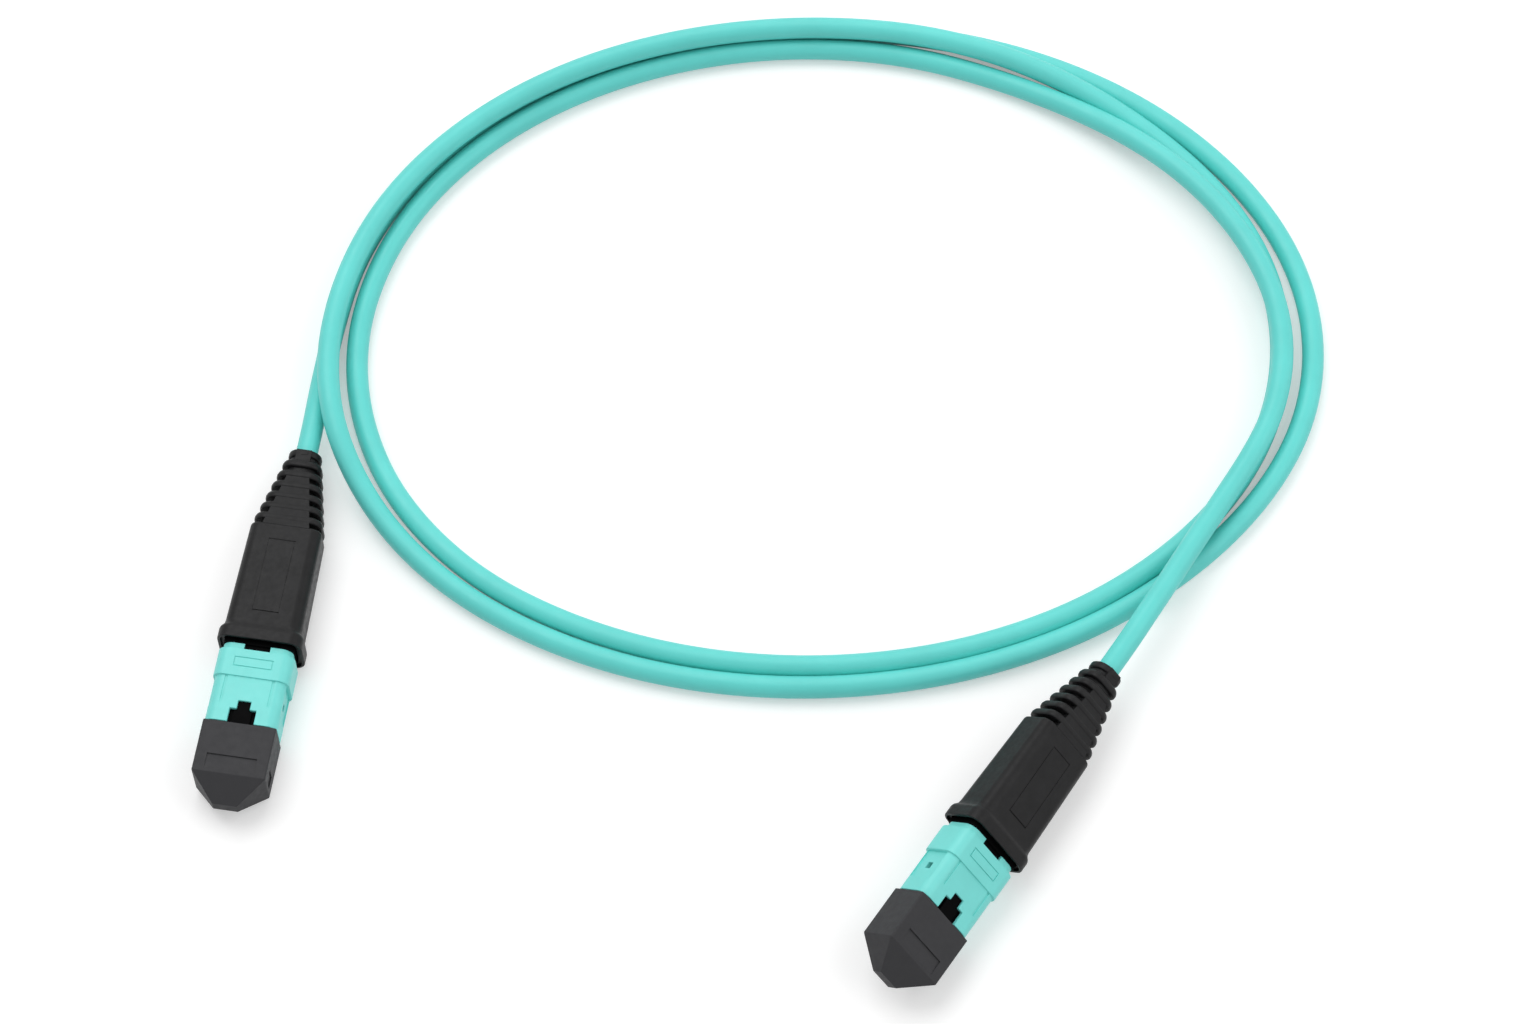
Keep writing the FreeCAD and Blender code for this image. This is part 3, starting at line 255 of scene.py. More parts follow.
class Finish:
    """A node material that reads Object coordinates, built up step by step."""

    def __init__(self, name, colour, roughness):
        self.material = bpy.data.materials.new(name)
        self.material.use_nodes = True
        self.material.diffuse_color = (*colour, 1.0)
        self.nodes = self.material.node_tree.nodes
        self.links = self.material.node_tree.links
        self.shader = self.nodes["Principled BSDF"]
        self.shader.inputs["Base Color"].default_value = (*colour, 1.0)
        self.shader.inputs["Roughness"].default_value = roughness
        self.place = self.nodes.new("ShaderNodeTexCoord").outputs["Object"]
        self.height = None
        self.colour = tuple(colour)

    def noise(self, scale, detail=3.0, roughness=0.55, stretch=None):
        """Noise over the piece, stretched where a stretch is given."""
        place = self.place
        if stretch:
            mapping = self.nodes.new("ShaderNodeMapping")
            mapping.inputs["Scale"].default_value = stretch
            self.links.new(place, mapping.inputs["Vector"])
            place = mapping.outputs["Vector"]
        texture = self.nodes.new("ShaderNodeTexNoise")
        texture.inputs["Scale"].default_value = scale
        texture.inputs["Detail"].default_value = detail
        texture.inputs["Roughness"].default_value = roughness
        self.links.new(place, texture.inputs["Vector"])
        return texture.outputs["Fac"]

    def spread(self, value, low, high):
        """The value's middle range stretched over low to high."""
        ranged = self.nodes.new("ShaderNodeMapRange")
        ranged.inputs["From Min"].default_value = NOISE_LOW
        ranged.inputs["From Max"].default_value = NOISE_HIGH
        ranged.inputs["To Min"].default_value = low
        ranged.inputs["To Max"].default_value = high
        self.links.new(value, ranged.inputs["Value"])
        return ranged.outputs["Result"]

    def vary_colour(self, value, darker, lighter):
        """Lets the colour drift between a darker and a lighter shade of itself."""
        ramp = self.nodes.new("ShaderNodeValToRGB")
        stops = zip(ramp.color_ramp.elements, (NOISE_LOW, NOISE_HIGH), (darker, lighter))
        for stop, position, factor in stops:
            stop.position = position
            stop.color = (*[min(1.0, part * factor) for part in self.colour], 1.0)
        self.links.new(value, ramp.inputs["Fac"])
        self.links.new(ramp.outputs["Color"], self.shader.inputs["Base Color"])

    def vary_roughness(self, value, low, high):
        """Lets the roughness drift between low and high."""
        self.links.new(self.spread(value, low, high), self.shader.inputs["Roughness"])

    def bump(self, value, distance, strength):
        """Adds a fine relief on top of those already there."""
        bump = self.nodes.new("ShaderNodeBump")
        bump.inputs["Distance"].default_value = distance
        bump.inputs["Strength"].default_value = strength
        self.links.new(value, bump.inputs["Height"])
        if self.height is not None:
            self.links.new(self.height, bump.inputs["Normal"])
        self.height = bump.outputs["Normal"]
        self.links.new(self.height, self.shader.inputs["Normal"])

    def set(self, **values):
        """Sets shader inputs by name, with an underscore for each space."""
        for label, value in values.items():
            self.shader.inputs[label.replace("_", " ")].default_value = value


def moulded_plastic(name, colour, roughness, grain, depth, gleam):
    """Moulded plastic: a fine grain, slight flow marks and an uneven sheen.

    The grain's fineness goes with its depth in metres, and gleam is the specular level.
    """
    finish = Finish(name, colour, roughness)
    flow = finish.noise(260.0, 4.0, 0.6, (1.0, 1.0, 0.45))
    finish.vary_colour(flow, 0.97, 1.03)
    finish.vary_roughness(finish.noise(900.0, 3.0), roughness - 0.06, roughness + 0.08)
    finish.bump(finish.noise(grain, 2.0, 0.5), depth, 0.6)
    finish.bump(flow, depth * 2, 0.2)
    finish.set(Specular_IOR_Level=gleam)
    return finish.material


def cable_jacket(colour):
    """Extruded cable jacket: smooth, faintly wavy and a little paler where it was handled."""
    finish = Finish("cable_jacket", colour, 0.42)
    finish.vary_colour(finish.noise(70.0, 4.0, 0.6), 0.95, 1.05)
    finish.vary_roughness(finish.noise(420.0, 3.0), 0.36, 0.50)
    finish.bump(finish.noise(240.0, 2.0, 0.5), 0.00006, 0.35)
    finish.bump(finish.noise(3200.0, 2.0, 0.5), 0.00001, 0.4)
    finish.set(Specular_IOR_Level=0.45)
    return finish.material


def rubber(name, colour):
    """Soft black moulding with a dry, slightly dusty surface."""
    finish = Finish(name, colour, 0.42)
    finish.vary_colour(finish.noise(380.0, 5.0, 0.65), 0.8, 1.5)
    finish.vary_roughness(finish.noise(1300.0, 4.0), 0.34, 0.50)
    finish.bump(finish.noise(5200.0, 2.0, 0.6), 0.000018, 0.7)
    finish.set(Specular_IOR_Level=0.18)
    return finish.material


def bright_steel(name):
    """Drawn wire and crimped sleeve steel with fine lengthwise drawing lines."""
    finish = Finish(name, STEEL_GREY, 0.28)
    finish.vary_colour(finish.noise(600.0, 3.0), 0.85, 1.1)
    finish.vary_roughness(finish.noise(2600.0, 3.0, 0.5, (1.0, 0.08, 1.0)), 0.2, 0.38)
    finish.bump(finish.noise(4000.0, 2.0, 0.5, (1.0, 0.06, 1.0)), 0.000006, 0.6)
    finish.set(Metallic=1.0)
    return finish.material


def coated_fibre(name):
    """Ribbon of coated fibres: glossy, with one fine line per fibre."""
    finish = Finish(name, FIBRE_IVORY, 0.3)
    finish.vary_colour(finish.noise(3600.0, 1.0, 0.4, (1.0, 0.01, 1.0)), 0.75, 1.15)
    finish.bump(finish.noise(4000.0, 1.0, 0.4, (1.0, 0.01, 1.0)), 0.00001, 0.6)
    return finish.material


# ---------------------------------------------------------------- modelling by hand


def deselect():
    """Leaves edit mode and deselects every object."""
    if bpy.context.object and bpy.context.object.mode != "OBJECT":
        bpy.ops.object.mode_set(mode="OBJECT")
    bpy.ops.object.select_all(action="DESELECT")


def connector_axes(end):
    """Matrix from the connector's own frame to the row frame.

    Across the connector is x, out of its key side is y and out of its nose is z.
    """
    mount = MOUNTS[NOSE_MOUNT[end]]
    nose = Vector(mount["axis"]).normalized()
    roll = math.radians(ROLL[end])
    up = Vector((0.0, 0.0, 1.0))
    across = up.cross(nose) * math.sin(roll) - up * math.cos(roll)
    key = nose.cross(across)
    rotation = Matrix((across, key, nose)).transposed().to_4x4()
    return Matrix.Translation(Vector(mount["pos_m"]) - nose * NOSE_REACH * MM) @ rotation


def take_up(piece):
    """Makes the piece the only selected object and the active one."""
    deselect()
    piece.select_set(True)
    bpy.context.view_layer.objects.active = piece


def editing(piece, kind):
    """Opens the piece for editing in this select mode, with nothing selected."""
    take_up(piece)
    bpy.ops.object.mode_set(mode="EDIT")
    bpy.ops.mesh.select_mode(type=kind)
    bpy.ops.mesh.select_all(action="DESELECT")
    return bmesh.from_edit_mesh(piece.data)


def along_length(edge):
    """True for an edge that runs straight along the connector."""
    start, end = (vert.co for vert in edge.verts)
    return (start.xy - end.xy).length < SMALL


def bar(name, width, height, rear, front, corner=0.0, segments=6, middle=(0.0, 0.0)):
    """A box along the connector's length from a cube, its four long edges rounded."""
    deselect()
    bpy.ops.mesh.primitive_cube_add(size=1.0)
    piece = bpy.context.object
    piece.name = name
    piece.scale = (width * MM, height * MM, (front - rear) * MM)
    piece.location = (middle[0] * MM, middle[1] * MM, (rear + front) / 2 * MM)
    bpy.ops.object.transform_apply(location=True, rotation=True, scale=True)
    if corner:
        shape = editing(piece, "EDGE")
        for edge in shape.edges:
            if along_length(edge):
                edge.select_set(True)
        bmesh.update_edit_mesh(piece.data)
        bpy.ops.mesh.bevel(offset=corner * MM, segments=segments, affect="EDGES")
        bpy.ops.object.mode_set(mode="OBJECT")
    return piece


def select_end(piece, place):
    """Opens the piece with the end face at this place along its length selected."""
    shape = editing(piece, "FACE")
    for face in shape.faces:
        centre = face.calc_center_median()
        if abs(face.normal.z) > 0.99 and abs(centre.z - place * MM) < SMALL:
            face.select_set(True)
    bmesh.update_edit_mesh(piece.data)


def factors(section, earlier):
    """Width and height factors that take the earlier section to this one."""
    return section[0] / earlier[0], section[1] / earlier[1]


def draw_out(piece, place, steps):
    """Extrudes the end face at this place through steps of (place, width factor, height factor)."""
    select_end(piece, place)
    for level, width, height in steps:
        rise = (0.0, 0.0, (level - place) * MM)
        bpy.ops.mesh.extrude_region_move(TRANSFORM_OT_translate={"value": rise})
        bpy.ops.transform.resize(value=(width, height, 1.0), center_override=(0.0, 0.0, level * MM))
        place = level
    bpy.ops.object.mode_set(mode="OBJECT")


def shift_end(piece, place, shift):
    """Moves the end face at this place sideways, so the piece slopes."""
    select_end(piece, place)
    bpy.ops.transform.translate(value=(shift[0] * MM, shift[1] * MM, 0.0))
    bpy.ops.object.mode_set(mode="OBJECT")


def round_rim(piece, place, radius, segments=3):
    """Rounds the rim of the end face at this place."""
    select_end(piece, place)
    bpy.ops.mesh.region_to_loop()
    bpy.ops.mesh.bevel(offset=radius * MM, segments=segments, affect="EDGES")
    bpy.ops.object.mode_set(mode="OBJECT")


def join(piece, others, operation):
    """Adds the other solids to the piece or cuts them out of it, then removes them."""
    for other in others:
        modifier = piece.modifiers.new("join", "BOOLEAN")
        modifier.operation = operation
        modifier.solver = "EXACT"
        modifier.object = other
        take_up(piece)
        bpy.ops.object.modifier_apply(modifier=modifier.name)
        bpy.data.objects.remove(other)
    if not piece.data.polygons:
        raise RuntimeError(piece.name + " came out empty")


def soften_edges(piece, radius, angle=32.0):
    """Rounds every edge of the piece that is sharper than this angle."""
    modifier = piece.modifiers.new("edges", "BEVEL")
    modifier.limit_method = "ANGLE"
    modifier.angle_limit = math.radians(angle)
    modifier.width = radius
    modifier.segments = 2
    take_up(piece)
    bpy.ops.object.modifier_apply(modifier=modifier.name)


def finish_faces(piece, angle):
    """Points the faces outwards and shades edges up to this angle smooth; flat faces stay flat."""
    editing(piece, "FACE")
    bpy.ops.mesh.select_all(action="SELECT")
    bpy.ops.mesh.normals_make_consistent(inside=False)
    bpy.ops.object.mode_set(mode="OBJECT")
    bpy.ops.object.shade_smooth_by_angle(angle=math.radians(angle))
    modifier = piece.modifiers.new("shading", "WEIGHTED_NORMAL")
    modifier.keep_sharp = True
    bpy.ops.object.modifier_apply(modifier=modifier.name)


def place_copies(piece, kind, material, body=None):
    """Puts one copy of the modelled piece at each end, with a mesh of its own."""
    piece.data.materials.clear()
    piece.data.materials.append(material)
    for end in ENDS:
        copy = piece.copy()
        copy.data = piece.data.copy()
        copy.name = copy.data.name = "%s_%s_look" % (end, kind)
        copy.data.transform(connector_axes(end))
        bpy.context.scene.collection.objects.link(copy)
        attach(copy, end + "_" + body if body else "patch_cord")
        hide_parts(end + "_" + kind)
        LOOKS[end].append(copy)
    bpy.data.objects.remove(piece)


def wind_spring(radius, wire, turns, length):
    """Coil of round wire, cut square at both ends, that stands on the origin and rises along z."""
    deselect()
    bpy.ops.mesh.primitive_circle_add(
        vertices=WIRE_SIDES, radius=wire / 2 * MM, fill_type="NOTHING",
        location=(radius * MM, 0.0, wire / 2 * MM), rotation=(math.pi / 2, 0.0, 0.0),
    )
    spring = bpy.context.object
    bpy.ops.object.transform_apply(location=True, rotation=True, scale=False)
    modifier = spring.modifiers.new("coil", "SCREW")
    modifier.iterations = turns
    modifier.steps = modifier.render_steps = COIL_STEPS
    modifier.screw_offset = (length - wire) / turns * MM
    bpy.ops.object.modifier_apply(modifier=modifier.name)
    editing(spring, "EDGE")
    bpy.ops.mesh.select_all(action="SELECT")
    bpy.ops.mesh.fill_holes(sides=0)
    bpy.ops.object.mode_set(mode="OBJECT")
    finish_faces(spring, 40.0)
    return spring


def dress(node, material):
    """Gives a carried-over solid its finish."""
    target = frame["nodes"][node]
    target.data.materials.clear()
    target.data.materials.append(material)


# ---------------------------------------------------------------- operators


class PATCHCORD_OT_dust_caps(bpy.types.Operator):
    """Models the pointed dust cap and puts one on each plug"""
    bl_idname = "patchcord.dust_caps"
    bl_label = "Dust caps"

    def execute(self, context):
        settings = context.scene.patchcord_connector
        cap = bar("cap", *CAP, CAP_MOUTH, CAP_SHOULDER, 0.35, 3)
        draw_out(cap, CAP_SHOULDER, [(CAP_POINT, *factors(CAP_TIP, CAP))])
        inside = bar("inside", *PASSAGE, 13.2, 22.6, PASSAGE_CORNER)
        key_room = bar("key_room", 3.2, 1.1, 13.2, 21.3, middle=(0.0, 3.0))
        join(cap, [inside, key_room], "DIFFERENCE")
        soften_edges(cap, settings.edge)
        panels = [bar("side_panel", 0.5, 3.0, 19.9, 22.1, middle=(CAP[0] / 2, 0.0))]
        for up in (1, -1):
            panel = bar("panel", 8.4, 0.5, 19.4, 22.1, middle=(0.0, CAP[1] / 2 * up))
            shift_end(panel, 22.1, (0.0, 0.2 * up))
            panels.append(panel)
        join(cap, panels, "DIFFERENCE")
        finish_faces(cap, 20.0)
        plastic = moulded_plastic(
            "cap_plastic", settings.cap, roughness=0.55, grain=3800.0, depth=0.00002, gleam=0.2,
        )
        place_copies(cap, "dust_cap", plastic, "dust_cap")
        return {"FINISHED"}


class PATCHCORD_OT_couplings(bpy.types.Operator):
    """Models the sliding coupling with its band and key notch and puts one on each plug"""
    bl_idname = "patchcord.couplings"
    bl_label = "Couplings"

    def execute(self, context):
        settings = context.scene.patchcord_connector
        shell = bar("shell", *COUPLING, BAND_FRONT, COUPLING_FRONT, 1.9)
        draw_out(shell, BAND_FRONT, [
            (BAND_FRONT, *factors(BAND, COUPLING)), (BAND_REAR, 1.0, 1.0),
            (BAND_REAR, *factors(LIP, BAND)), (LIP_REAR, 1.0, 1.0),
        ])
        cuts = [
            bar("cavity", *PASSAGE, PAST_LIP, 13.6, PASSAGE_CORNER),
            bar("notch", 4.5, 4.0, 10.8, 13.6, middle=(0.0, 4.5)),
            bar("slot", 2.2, 4.0, 9.3, 11.0, middle=(0.0, 4.5)),
        ]
        for side in (-1, 1):
            cuts.append(bar("channel", 1.5, 1.5, PAST_LIP, 4.8, middle=(5.0 * side, 0.0)))
        join(shell, cuts, "DIFFERENCE")
        soften_edges(shell, settings.edge)
        lines = [bar("lip_gap", 4.4, 9.0, PAST_LIP, -0.02)]
        for side in (-1, 1):
            flank = (COUPLING[0] / 2 * side, 0.0)
            lines.append(bar("side_recess", 0.7, 5.2, 5.05, 10.6, middle=flank))
            lines.append(bar("window", 3.0, 1.2, 7.3, 8.5, middle=flank))
        for up in (-1, 1):
            face = (0.0, BAND[1] / 2 * up)
            outline = bar("outline", 6.6, 0.3, 1.5, 3.3, middle=face)
            join(outline, [bar("inset", 6.2, 0.6, 1.7, 3.1, middle=face)], "DIFFERENCE")
            lines.append(outline)
            for side in (-1, 1):
                corner = (4.0 * side, COUPLING[1] / 2 * up)
                lines.append(bar("groove", 0.45, 0.3, 5.05, 9.8, middle=corner))
        join(shell, lines, "DIFFERENCE")
        finish_faces(shell, 20.0)
        plastic = moulded_plastic(
            "coupling_plastic", settings.shell,
            roughness=0.38, grain=3600.0, depth=0.00001, gleam=0.4,
        )
        place_copies(shell, "coupling", plastic, "coupling")
        return {"FINISHED"}


class PATCHCORD_OT_boots(bpy.types.Operator):
    """Models the ribbed strain relief boot with its hollow flange and puts one on each plug"""
    bl_idname = "patchcord.boots"
    bl_label = "Strain relief boots"

    def execute(self, context):
        settings = context.scene.patchcord_connector
        boot = bar("boot", *FLANGE, FLANGE_REAR, BOOT_FRONT, 2.3)
        draw_out(boot, FLANGE_REAR, [*FLANK, (BODY_END, *factors(BODY_REAR, BODY_FRONT))])
        round_rim(boot, BODY_END, 0.45)
        round_rim(boot, BOOT_FRONT, 0.15, 2)
        solids = [self.rib(index) for index in range(RIBS)]
        solids += [self.collar(), self.core(), self.spine()]
        solids.append(bar("bridge", 2.6, 5.3, -39.4, -37.2))
        join(boot, solids, "UNION")
        cuts = [
            bar("mouth", 13.5, 8.8, -2.3, PAST_LIP, 1.85),
            bar("hollow", 12.2, 7.6, -4.6, PAST_LIP, 1.3),
            bar("seat", *PASSAGE, -8.8, PAST_LIP, PASSAGE_CORNER),
            bar("crimp_room", 5.8, 5.8, -20.6, PAST_LIP, 2.9, 8),
            bar("cable_bore", 3.9, 3.9, -39.7, PAST_LIP, 1.95, 8),
        ]
        join(boot, cuts, "DIFFERENCE")
        lines = []
        for up in (-1, 1):
            lines.append(bar("panel_front", 4.6, 0.8, -7.5, -7.25, middle=(0.0, 4.45 * up)))
            lines.append(bar("panel_rear", 4.6, 0.8, -21.2, -20.95, middle=(0.0, 4.2 * up)))
            for side in (-1, 1):
                line = bar("panel_side", 0.14, 0.6, -21.2, -21.1, middle=(2.23 * side, 4.13 * up))
                draw_out(line, -21.1, [(-7.3, 1.0, 1.08)])
                lines.append(line)
        join(boot, lines, "DIFFERENCE")
        finish_faces(boot, 35.0)
        place_copies(boot, "strain_relief", rubber("boot_rubber", settings.boot))
        return {"FINISHED"}

    def rib(self, index):
        """One rib, a little wider at its grip side, with rounded rims."""
        share = index / (RIBS - 1)
        width, height = RIB_WIDTH + RIB_WIDENS * share, RIB_HEIGHT + RIB_RISES * share
        rear = RIB_REAR + RIB_STEP * index
        rib = bar("rib", width, height, rear + RIB_GRIP, rear + RIB_FRONT, 2.2)
        draw_out(rib, rear + RIB_GRIP, [(rear, 1 - 0.5 / width, 1 - 0.4 / height)])
        round_rim(rib, rear + RIB_FRONT, 0.3)
        round_rim(rib, rear, 0.4)
        return rib

    def collar(self):
        """Round collar that closes the boot on the cable."""
        collar = bar("collar", 5.7, 5.4, COLLAR_REAR, COLLAR_FRONT, 2.45, 8)
        round_rim(collar, COLLAR_REAR, 0.35)
        round_rim(collar, COLLAR_FRONT, 0.3)
        return collar

    def core(self):
        """Tapered core that carries the ribs."""
        core = bar("core", *CORE_REAR, -39.2, -38.6, 2.0)
        draw_out(core, -38.6, [(WEB_FRONT, *factors(CORE_FRONT, CORE_REAR))])
        return core

    def spine(self):
        """Web along both wide faces that leaves the grooves open only near the edges."""
        spine = bar("spine", *SPINE_REAR, -35.0, -34.6)
        draw_out(spine, -34.6, [(WEB_FRONT, *factors(SPINE_FRONT, SPINE_REAR))])
        return spine


class PATCHCORD_OT_springs(bpy.types.Operator):
    """Winds the springs behind the couplings and ferrules"""
    bl_idname = "patchcord.springs"
    bl_label = "Springs"

    def execute(self, context):
        steel = bright_steel("spring_steel")
        for kind, spring in SPRINGS.items():
            foot = Vector((spring.across, 0.0, spring.rear)) * MM
            coil = wind_spring(spring.radius, spring.wire, spring.turns, spring.length)
            coil.data.transform(Matrix.Translation(foot))
            place_copies(coil, kind, steel)
            for end in ENDS:
                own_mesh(LOOKS[end][-1])
        return {"FINISHED"}


class PATCHCORD_OT_cable(bpy.types.Operator):
    """Lays the loose cable from one boot to the other"""
    bl_idname = "patchcord.cable"
    bl_label = "Cable"

    def execute(self, context):
        settings = context.scene.patchcord_cable
        curve = bpy.data.curves.new("patch_cable", "CURVE")
        curve.dimensions = "3D"
        curve.resolution_u = 6
        curve.bevel_depth = settings.diameter / 2
        curve.bevel_resolution = 6
        curve.use_fill_caps = True
        points = [*NEAR_TAIL, *coil_points(), *FAR_TAIL]
        spline = curve.splines.new("NURBS")
        spline.points.add(len(points) - 1)
        for point, place in zip(spline.points, points):
            point.co = (*(Vector(place) * MM), 1.0)
        spline.order_u = 3
        spline.use_endpoint_u = True
        cable = bpy.data.objects.new("patch_cable", curve)
        context.scene.collection.objects.link(cable)
        curve.materials.append(cable_jacket(settings.jacket))
        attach(cable, "patch_cord")
        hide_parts("end_a_cable", "cable_coil", "end_b_cable")
        return {"FINISHED"}


class PATCHCORD_OT_inner_parts(bpy.types.Operator):
    """Gives the solids that stay their finishes"""
    bl_idname = "patchcord.inner_parts"
    bl_label = "Inner parts"

    def execute(self, context):
        settings = context.scene.patchcord_connector
        # The plug plastic is its own black darkened further, as painted shade in the key notch.
        black = moulded_plastic(
            "plug_plastic_and_notch_shade", PLUG_BLACK_AND_NOTCH_SHADE, roughness=0.5, grain=4200.0, depth=0.000012, gleam=0.02,
        )
        resin = moulded_plastic(
            "ferrule_resin", FERRULE_GREY, roughness=0.38, grain=6000.0, depth=0.000006, gleam=0.4,
        )
        steel = bpy.data.materials["spring_steel"]
        ribbon = coated_fibre("fibre_coating")
        sleeve = rubber("sleeve_rubber", SLEEVE_BLACK)
        boot, cap = bpy.data.materials["boot_rubber"], bpy.data.materials["cap_plastic"]
        shell, jacket = bpy.data.materials["coupling_plastic"], bpy.data.materials["cable_jacket"]
        finishes = {
            "plug_housing": black, "back_post": black, "pin_keeper": black, "retaining_ring": black,
            "ferrule": resin, "ferrule_sleeve": sleeve, "crimp_ring": steel, "fibre_ribbon": ribbon,
            "cable_end": jacket, "strain_relief": boot, "dust_cap": cap, "coupling": shell,
            **dict.fromkeys(SPRINGS, steel),
        }
        for end in ENDS:
            for piece, material in finishes.items():
                dress(end + "_" + piece, material)
        for node in ("end_a_cable", "end_b_cable", "cable_coil"):
            dress(node, jacket)
        return {"FINISHED"}


# Grey of the floor, how far it is lifted to white for the eye, and the even light all round.
FLOOR_TONE = 0.8
FLOOR_LIFT = 0.33
WORLD_LIGHT = 0.5
WHITE = (1.0, 1.0, 1.0, 1.0)
# In metres: the floor's side and middle, just under what lies on it, and what the lamps and the
# camera are turned to.
FLOOR_SIDE = 6.0
FLOOR_MIDDLE = (0.08, 0.04, -0.0002)
LIT_POINT = (0.08, 0.04, 0.0)
SEEN_POINT = (0.0794, 0.03725, 0.0)
SENSOR_WIDTH = 36.0
# Place and size in metres, and power in watts.
LAMPS = {
    "key_lamp": ((-0.40, 0.45, 1.2), 1.1, 7.4),
    "fill_lamp": ((0.95, 0.1, 0.8), 1.2, 3.6),
    "back_lamp": ((0.1, 1.2, 0.8), 1.0, 2.5),
}


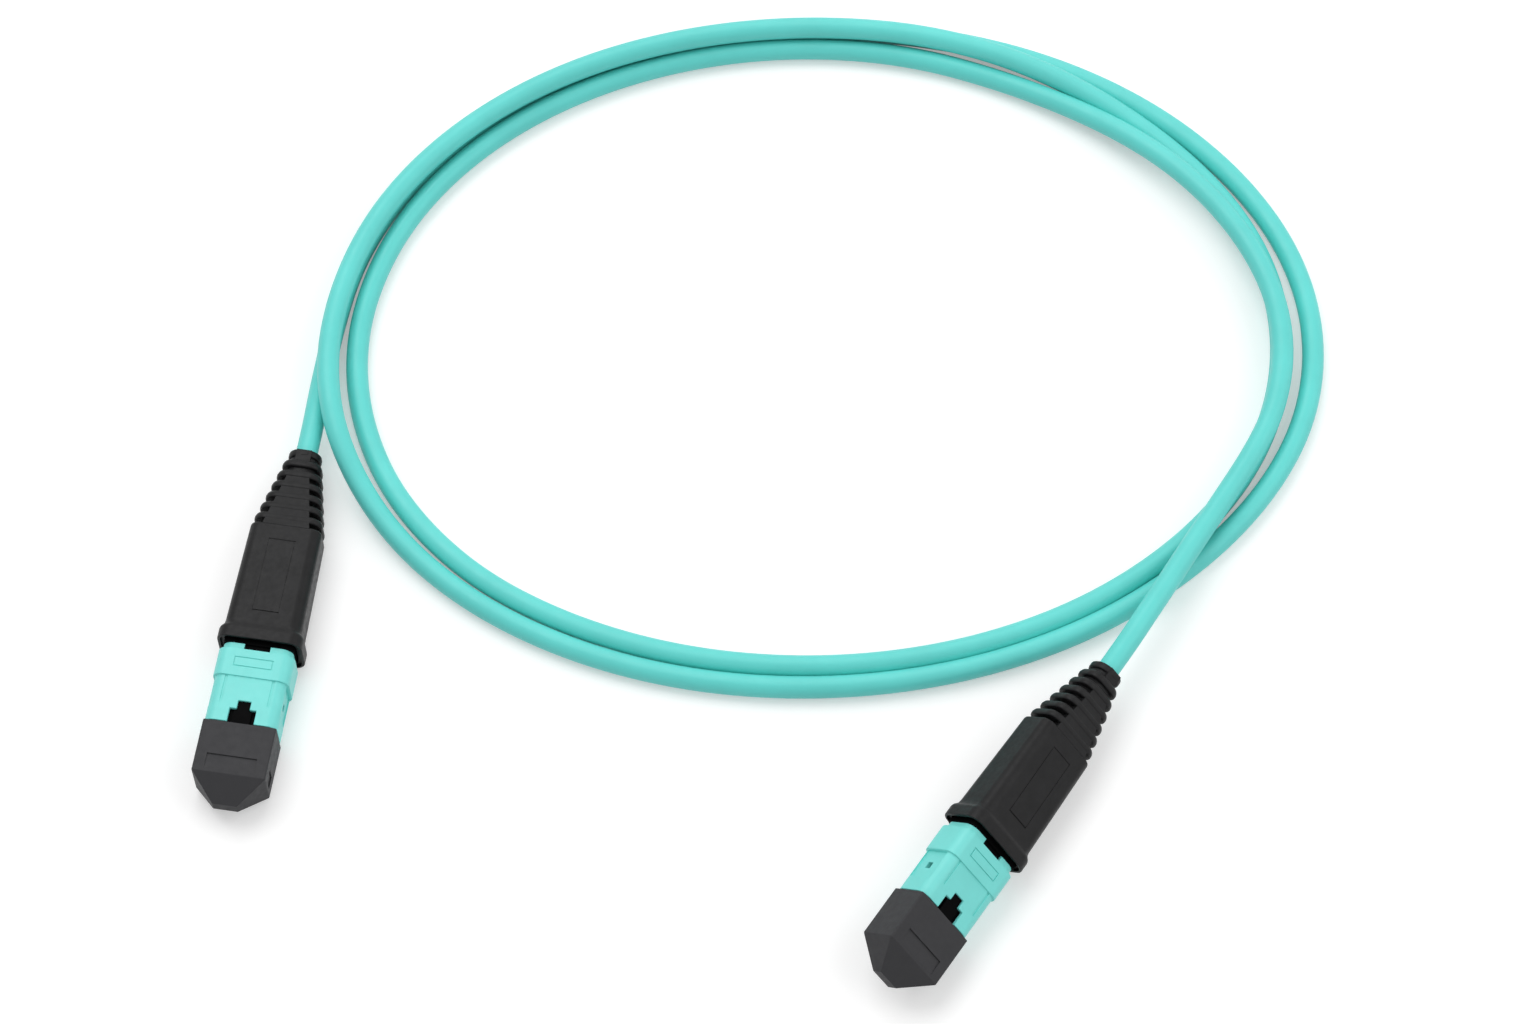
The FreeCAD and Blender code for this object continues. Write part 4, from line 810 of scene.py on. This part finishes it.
class PATCHCORD_OT_stage(bpy.types.Operator):
    """Adds the pale floor, the soft lamps and the camera"""
    bl_idname = "patchcord.stage"
    bl_label = "Stage"

    def execute(self, context):
        settings = context.scene.patchcord_stage
        deselect()
        bpy.ops.mesh.primitive_plane_add(size=FLOOR_SIDE, location=FLOOR_MIDDLE)
        floor = context.object
        floor.name = "floor"
        floor.data.materials.append(self.floor_material())
        self.world(context)
        for name, lamp in LAMPS.items():
            self.lamp(name, *lamp)
        self.camera(context, settings)
        context.scene.view_settings.view_transform = "Standard"
        return {"FINISHED"}

    def camera(self, context, settings):
        """Puts the camera where the settings say, turned to the point that it looks at."""
        data = bpy.data.cameras.new("camera")
        data.sensor_width = SENSOR_WIDTH
        data.lens = settings.lens
        data.clip_start = 0.01
        camera = bpy.data.objects.new("camera", data)
        context.scene.collection.objects.link(camera)
        level, rise = math.cos(settings.elevation), math.sin(settings.elevation)
        away = Vector((math.sin(settings.turn) * level, -math.cos(settings.turn) * level, rise))
        camera.location = Vector(SEEN_POINT) + away * settings.distance
        camera.rotation_euler = (-away).to_track_quat("-Z", "Y").to_euler()
        context.scene.camera = camera

    def seen_directly(self, nodes, links):
        """1 for rays from the camera and for what metal or glass shows, else 0."""
        path = nodes.new("ShaderNodeLightPath")
        total = path.outputs["Is Camera Ray"]
        for kind in ("Is Glossy Ray", "Is Transmission Ray"):
            add = nodes.new("ShaderNodeMath")
            add.operation = "ADD"
            add.use_clamp = True
            links.new(total, add.inputs[0])
            links.new(path.outputs[kind], add.inputs[1])
            total = add.outputs["Value"]
        return total

    def floor_material(self):
        """A pale floor that looks nearly white and keeps the shadows."""
        material = bpy.data.materials.new("floor_white")
        material.use_nodes = True
        nodes, links = material.node_tree.nodes, material.node_tree.links
        shader = nodes["Principled BSDF"]
        shader.inputs["Base Color"].default_value = (FLOOR_TONE, FLOOR_TONE, FLOOR_TONE, 1.0)
        shader.inputs["Roughness"].default_value = 0.9
        shader.inputs["Specular IOR Level"].default_value = 0.0
        shader.inputs["Emission Color"].default_value = WHITE
        lift = nodes.new("ShaderNodeMath")
        lift.operation = "MULTIPLY"
        lift.inputs[1].default_value = FLOOR_LIFT
        links.new(self.seen_directly(nodes, links), lift.inputs[0])
        links.new(lift.outputs["Value"], shader.inputs["Emission Strength"])
        return material

    def world(self, context):
        """White where it is seen directly, and a plain even light for everything else."""
        world = bpy.data.worlds.new("studio")
        world.use_nodes = True
        context.scene.world = world
        nodes, links = world.node_tree.nodes, world.node_tree.links
        seen = nodes["Background"]
        seen.inputs["Color"].default_value = WHITE
        seen.inputs["Strength"].default_value = 1.0
        light = nodes.new("ShaderNodeBackground")
        light.inputs["Color"].default_value = WHITE
        light.inputs["Strength"].default_value = WORLD_LIGHT
        mix = nodes.new("ShaderNodeMixShader")
        links.new(self.seen_directly(nodes, links), mix.inputs["Fac"])
        links.new(light.outputs["Background"], mix.inputs[1])
        links.new(seen.outputs["Background"], mix.inputs[2])
        links.new(mix.outputs["Shader"], nodes["World Output"].inputs["Surface"])

    def lamp(self, name, place, size, power):
        """One round soft lamp, turned to the middle of the object."""
        data = bpy.data.lights.new(name, "AREA")
        data.shape = "DISK"
        data.size = size
        data.energy = power
        lamp = bpy.data.objects.new(name, data)
        bpy.context.scene.collection.objects.link(lamp)
        lamp.location = place
        aim = Vector(LIT_POINT) - Vector(place)
        lamp.rotation_euler = aim.to_track_quat("-Z", "Y").to_euler()


class PATCHCORD_PT_panel(bpy.types.Panel):
    """Lists the patch cord's pieces"""
    bl_label = "Patch cord"
    bl_idname = "PATCHCORD_PT_panel"
    bl_space_type = "VIEW_3D"
    bl_region_type = "UI"
    bl_category = "Patch cord"

    def draw(self, context):
        scene = context.scene
        for group, operators in PANEL_ROWS:
            settings = getattr(scene, group)
            box = self.layout.box()
            for key in settings.__annotations__:
                box.prop(settings, key)
            for operator in operators:
                box.operator(operator.bl_idname)


SETTINGS = {
    "patchcord_cable": CableSettings,
    "patchcord_connector": ConnectorSettings,
    "patchcord_stage": StageSettings,
}
PANEL_ROWS = (
    ("patchcord_cable", (PATCHCORD_OT_cable,)),
    (
        "patchcord_connector",
        (
            PATCHCORD_OT_dust_caps, PATCHCORD_OT_couplings, PATCHCORD_OT_boots,
            PATCHCORD_OT_springs, PATCHCORD_OT_inner_parts,
        ),
    ),
    ("patchcord_stage", (PATCHCORD_OT_stage,)),
)
OPERATORS = tuple(operator for _, operators in PANEL_ROWS for operator in operators)


def register():
    """Registers the settings, the operators and the panel."""
    for name, group in SETTINGS.items():
        bpy.utils.register_class(group)
        setattr(bpy.types.Scene, name, bpy.props.PointerProperty(type=group))
    for operator in OPERATORS:
        bpy.utils.register_class(operator)
    bpy.utils.register_class(PATCHCORD_PT_panel)


def unregister():
    """Takes away what register adds."""
    bpy.utils.unregister_class(PATCHCORD_PT_panel)
    for operator in reversed(OPERATORS):
        bpy.utils.unregister_class(operator)
    for name, group in SETTINGS.items():
        delattr(bpy.types.Scene, name)
        bpy.utils.unregister_class(group)


def main():
    """Makes every piece and the stage."""
    register()
    bpy.ops.patchcord.dust_caps()
    bpy.ops.patchcord.couplings()
    bpy.ops.patchcord.boots()
    bpy.ops.patchcord.springs()
    bpy.ops.patchcord.cable()
    bpy.ops.patchcord.inner_parts()
    bpy.ops.patchcord.stage()


if __name__ == "__main__":
    main()
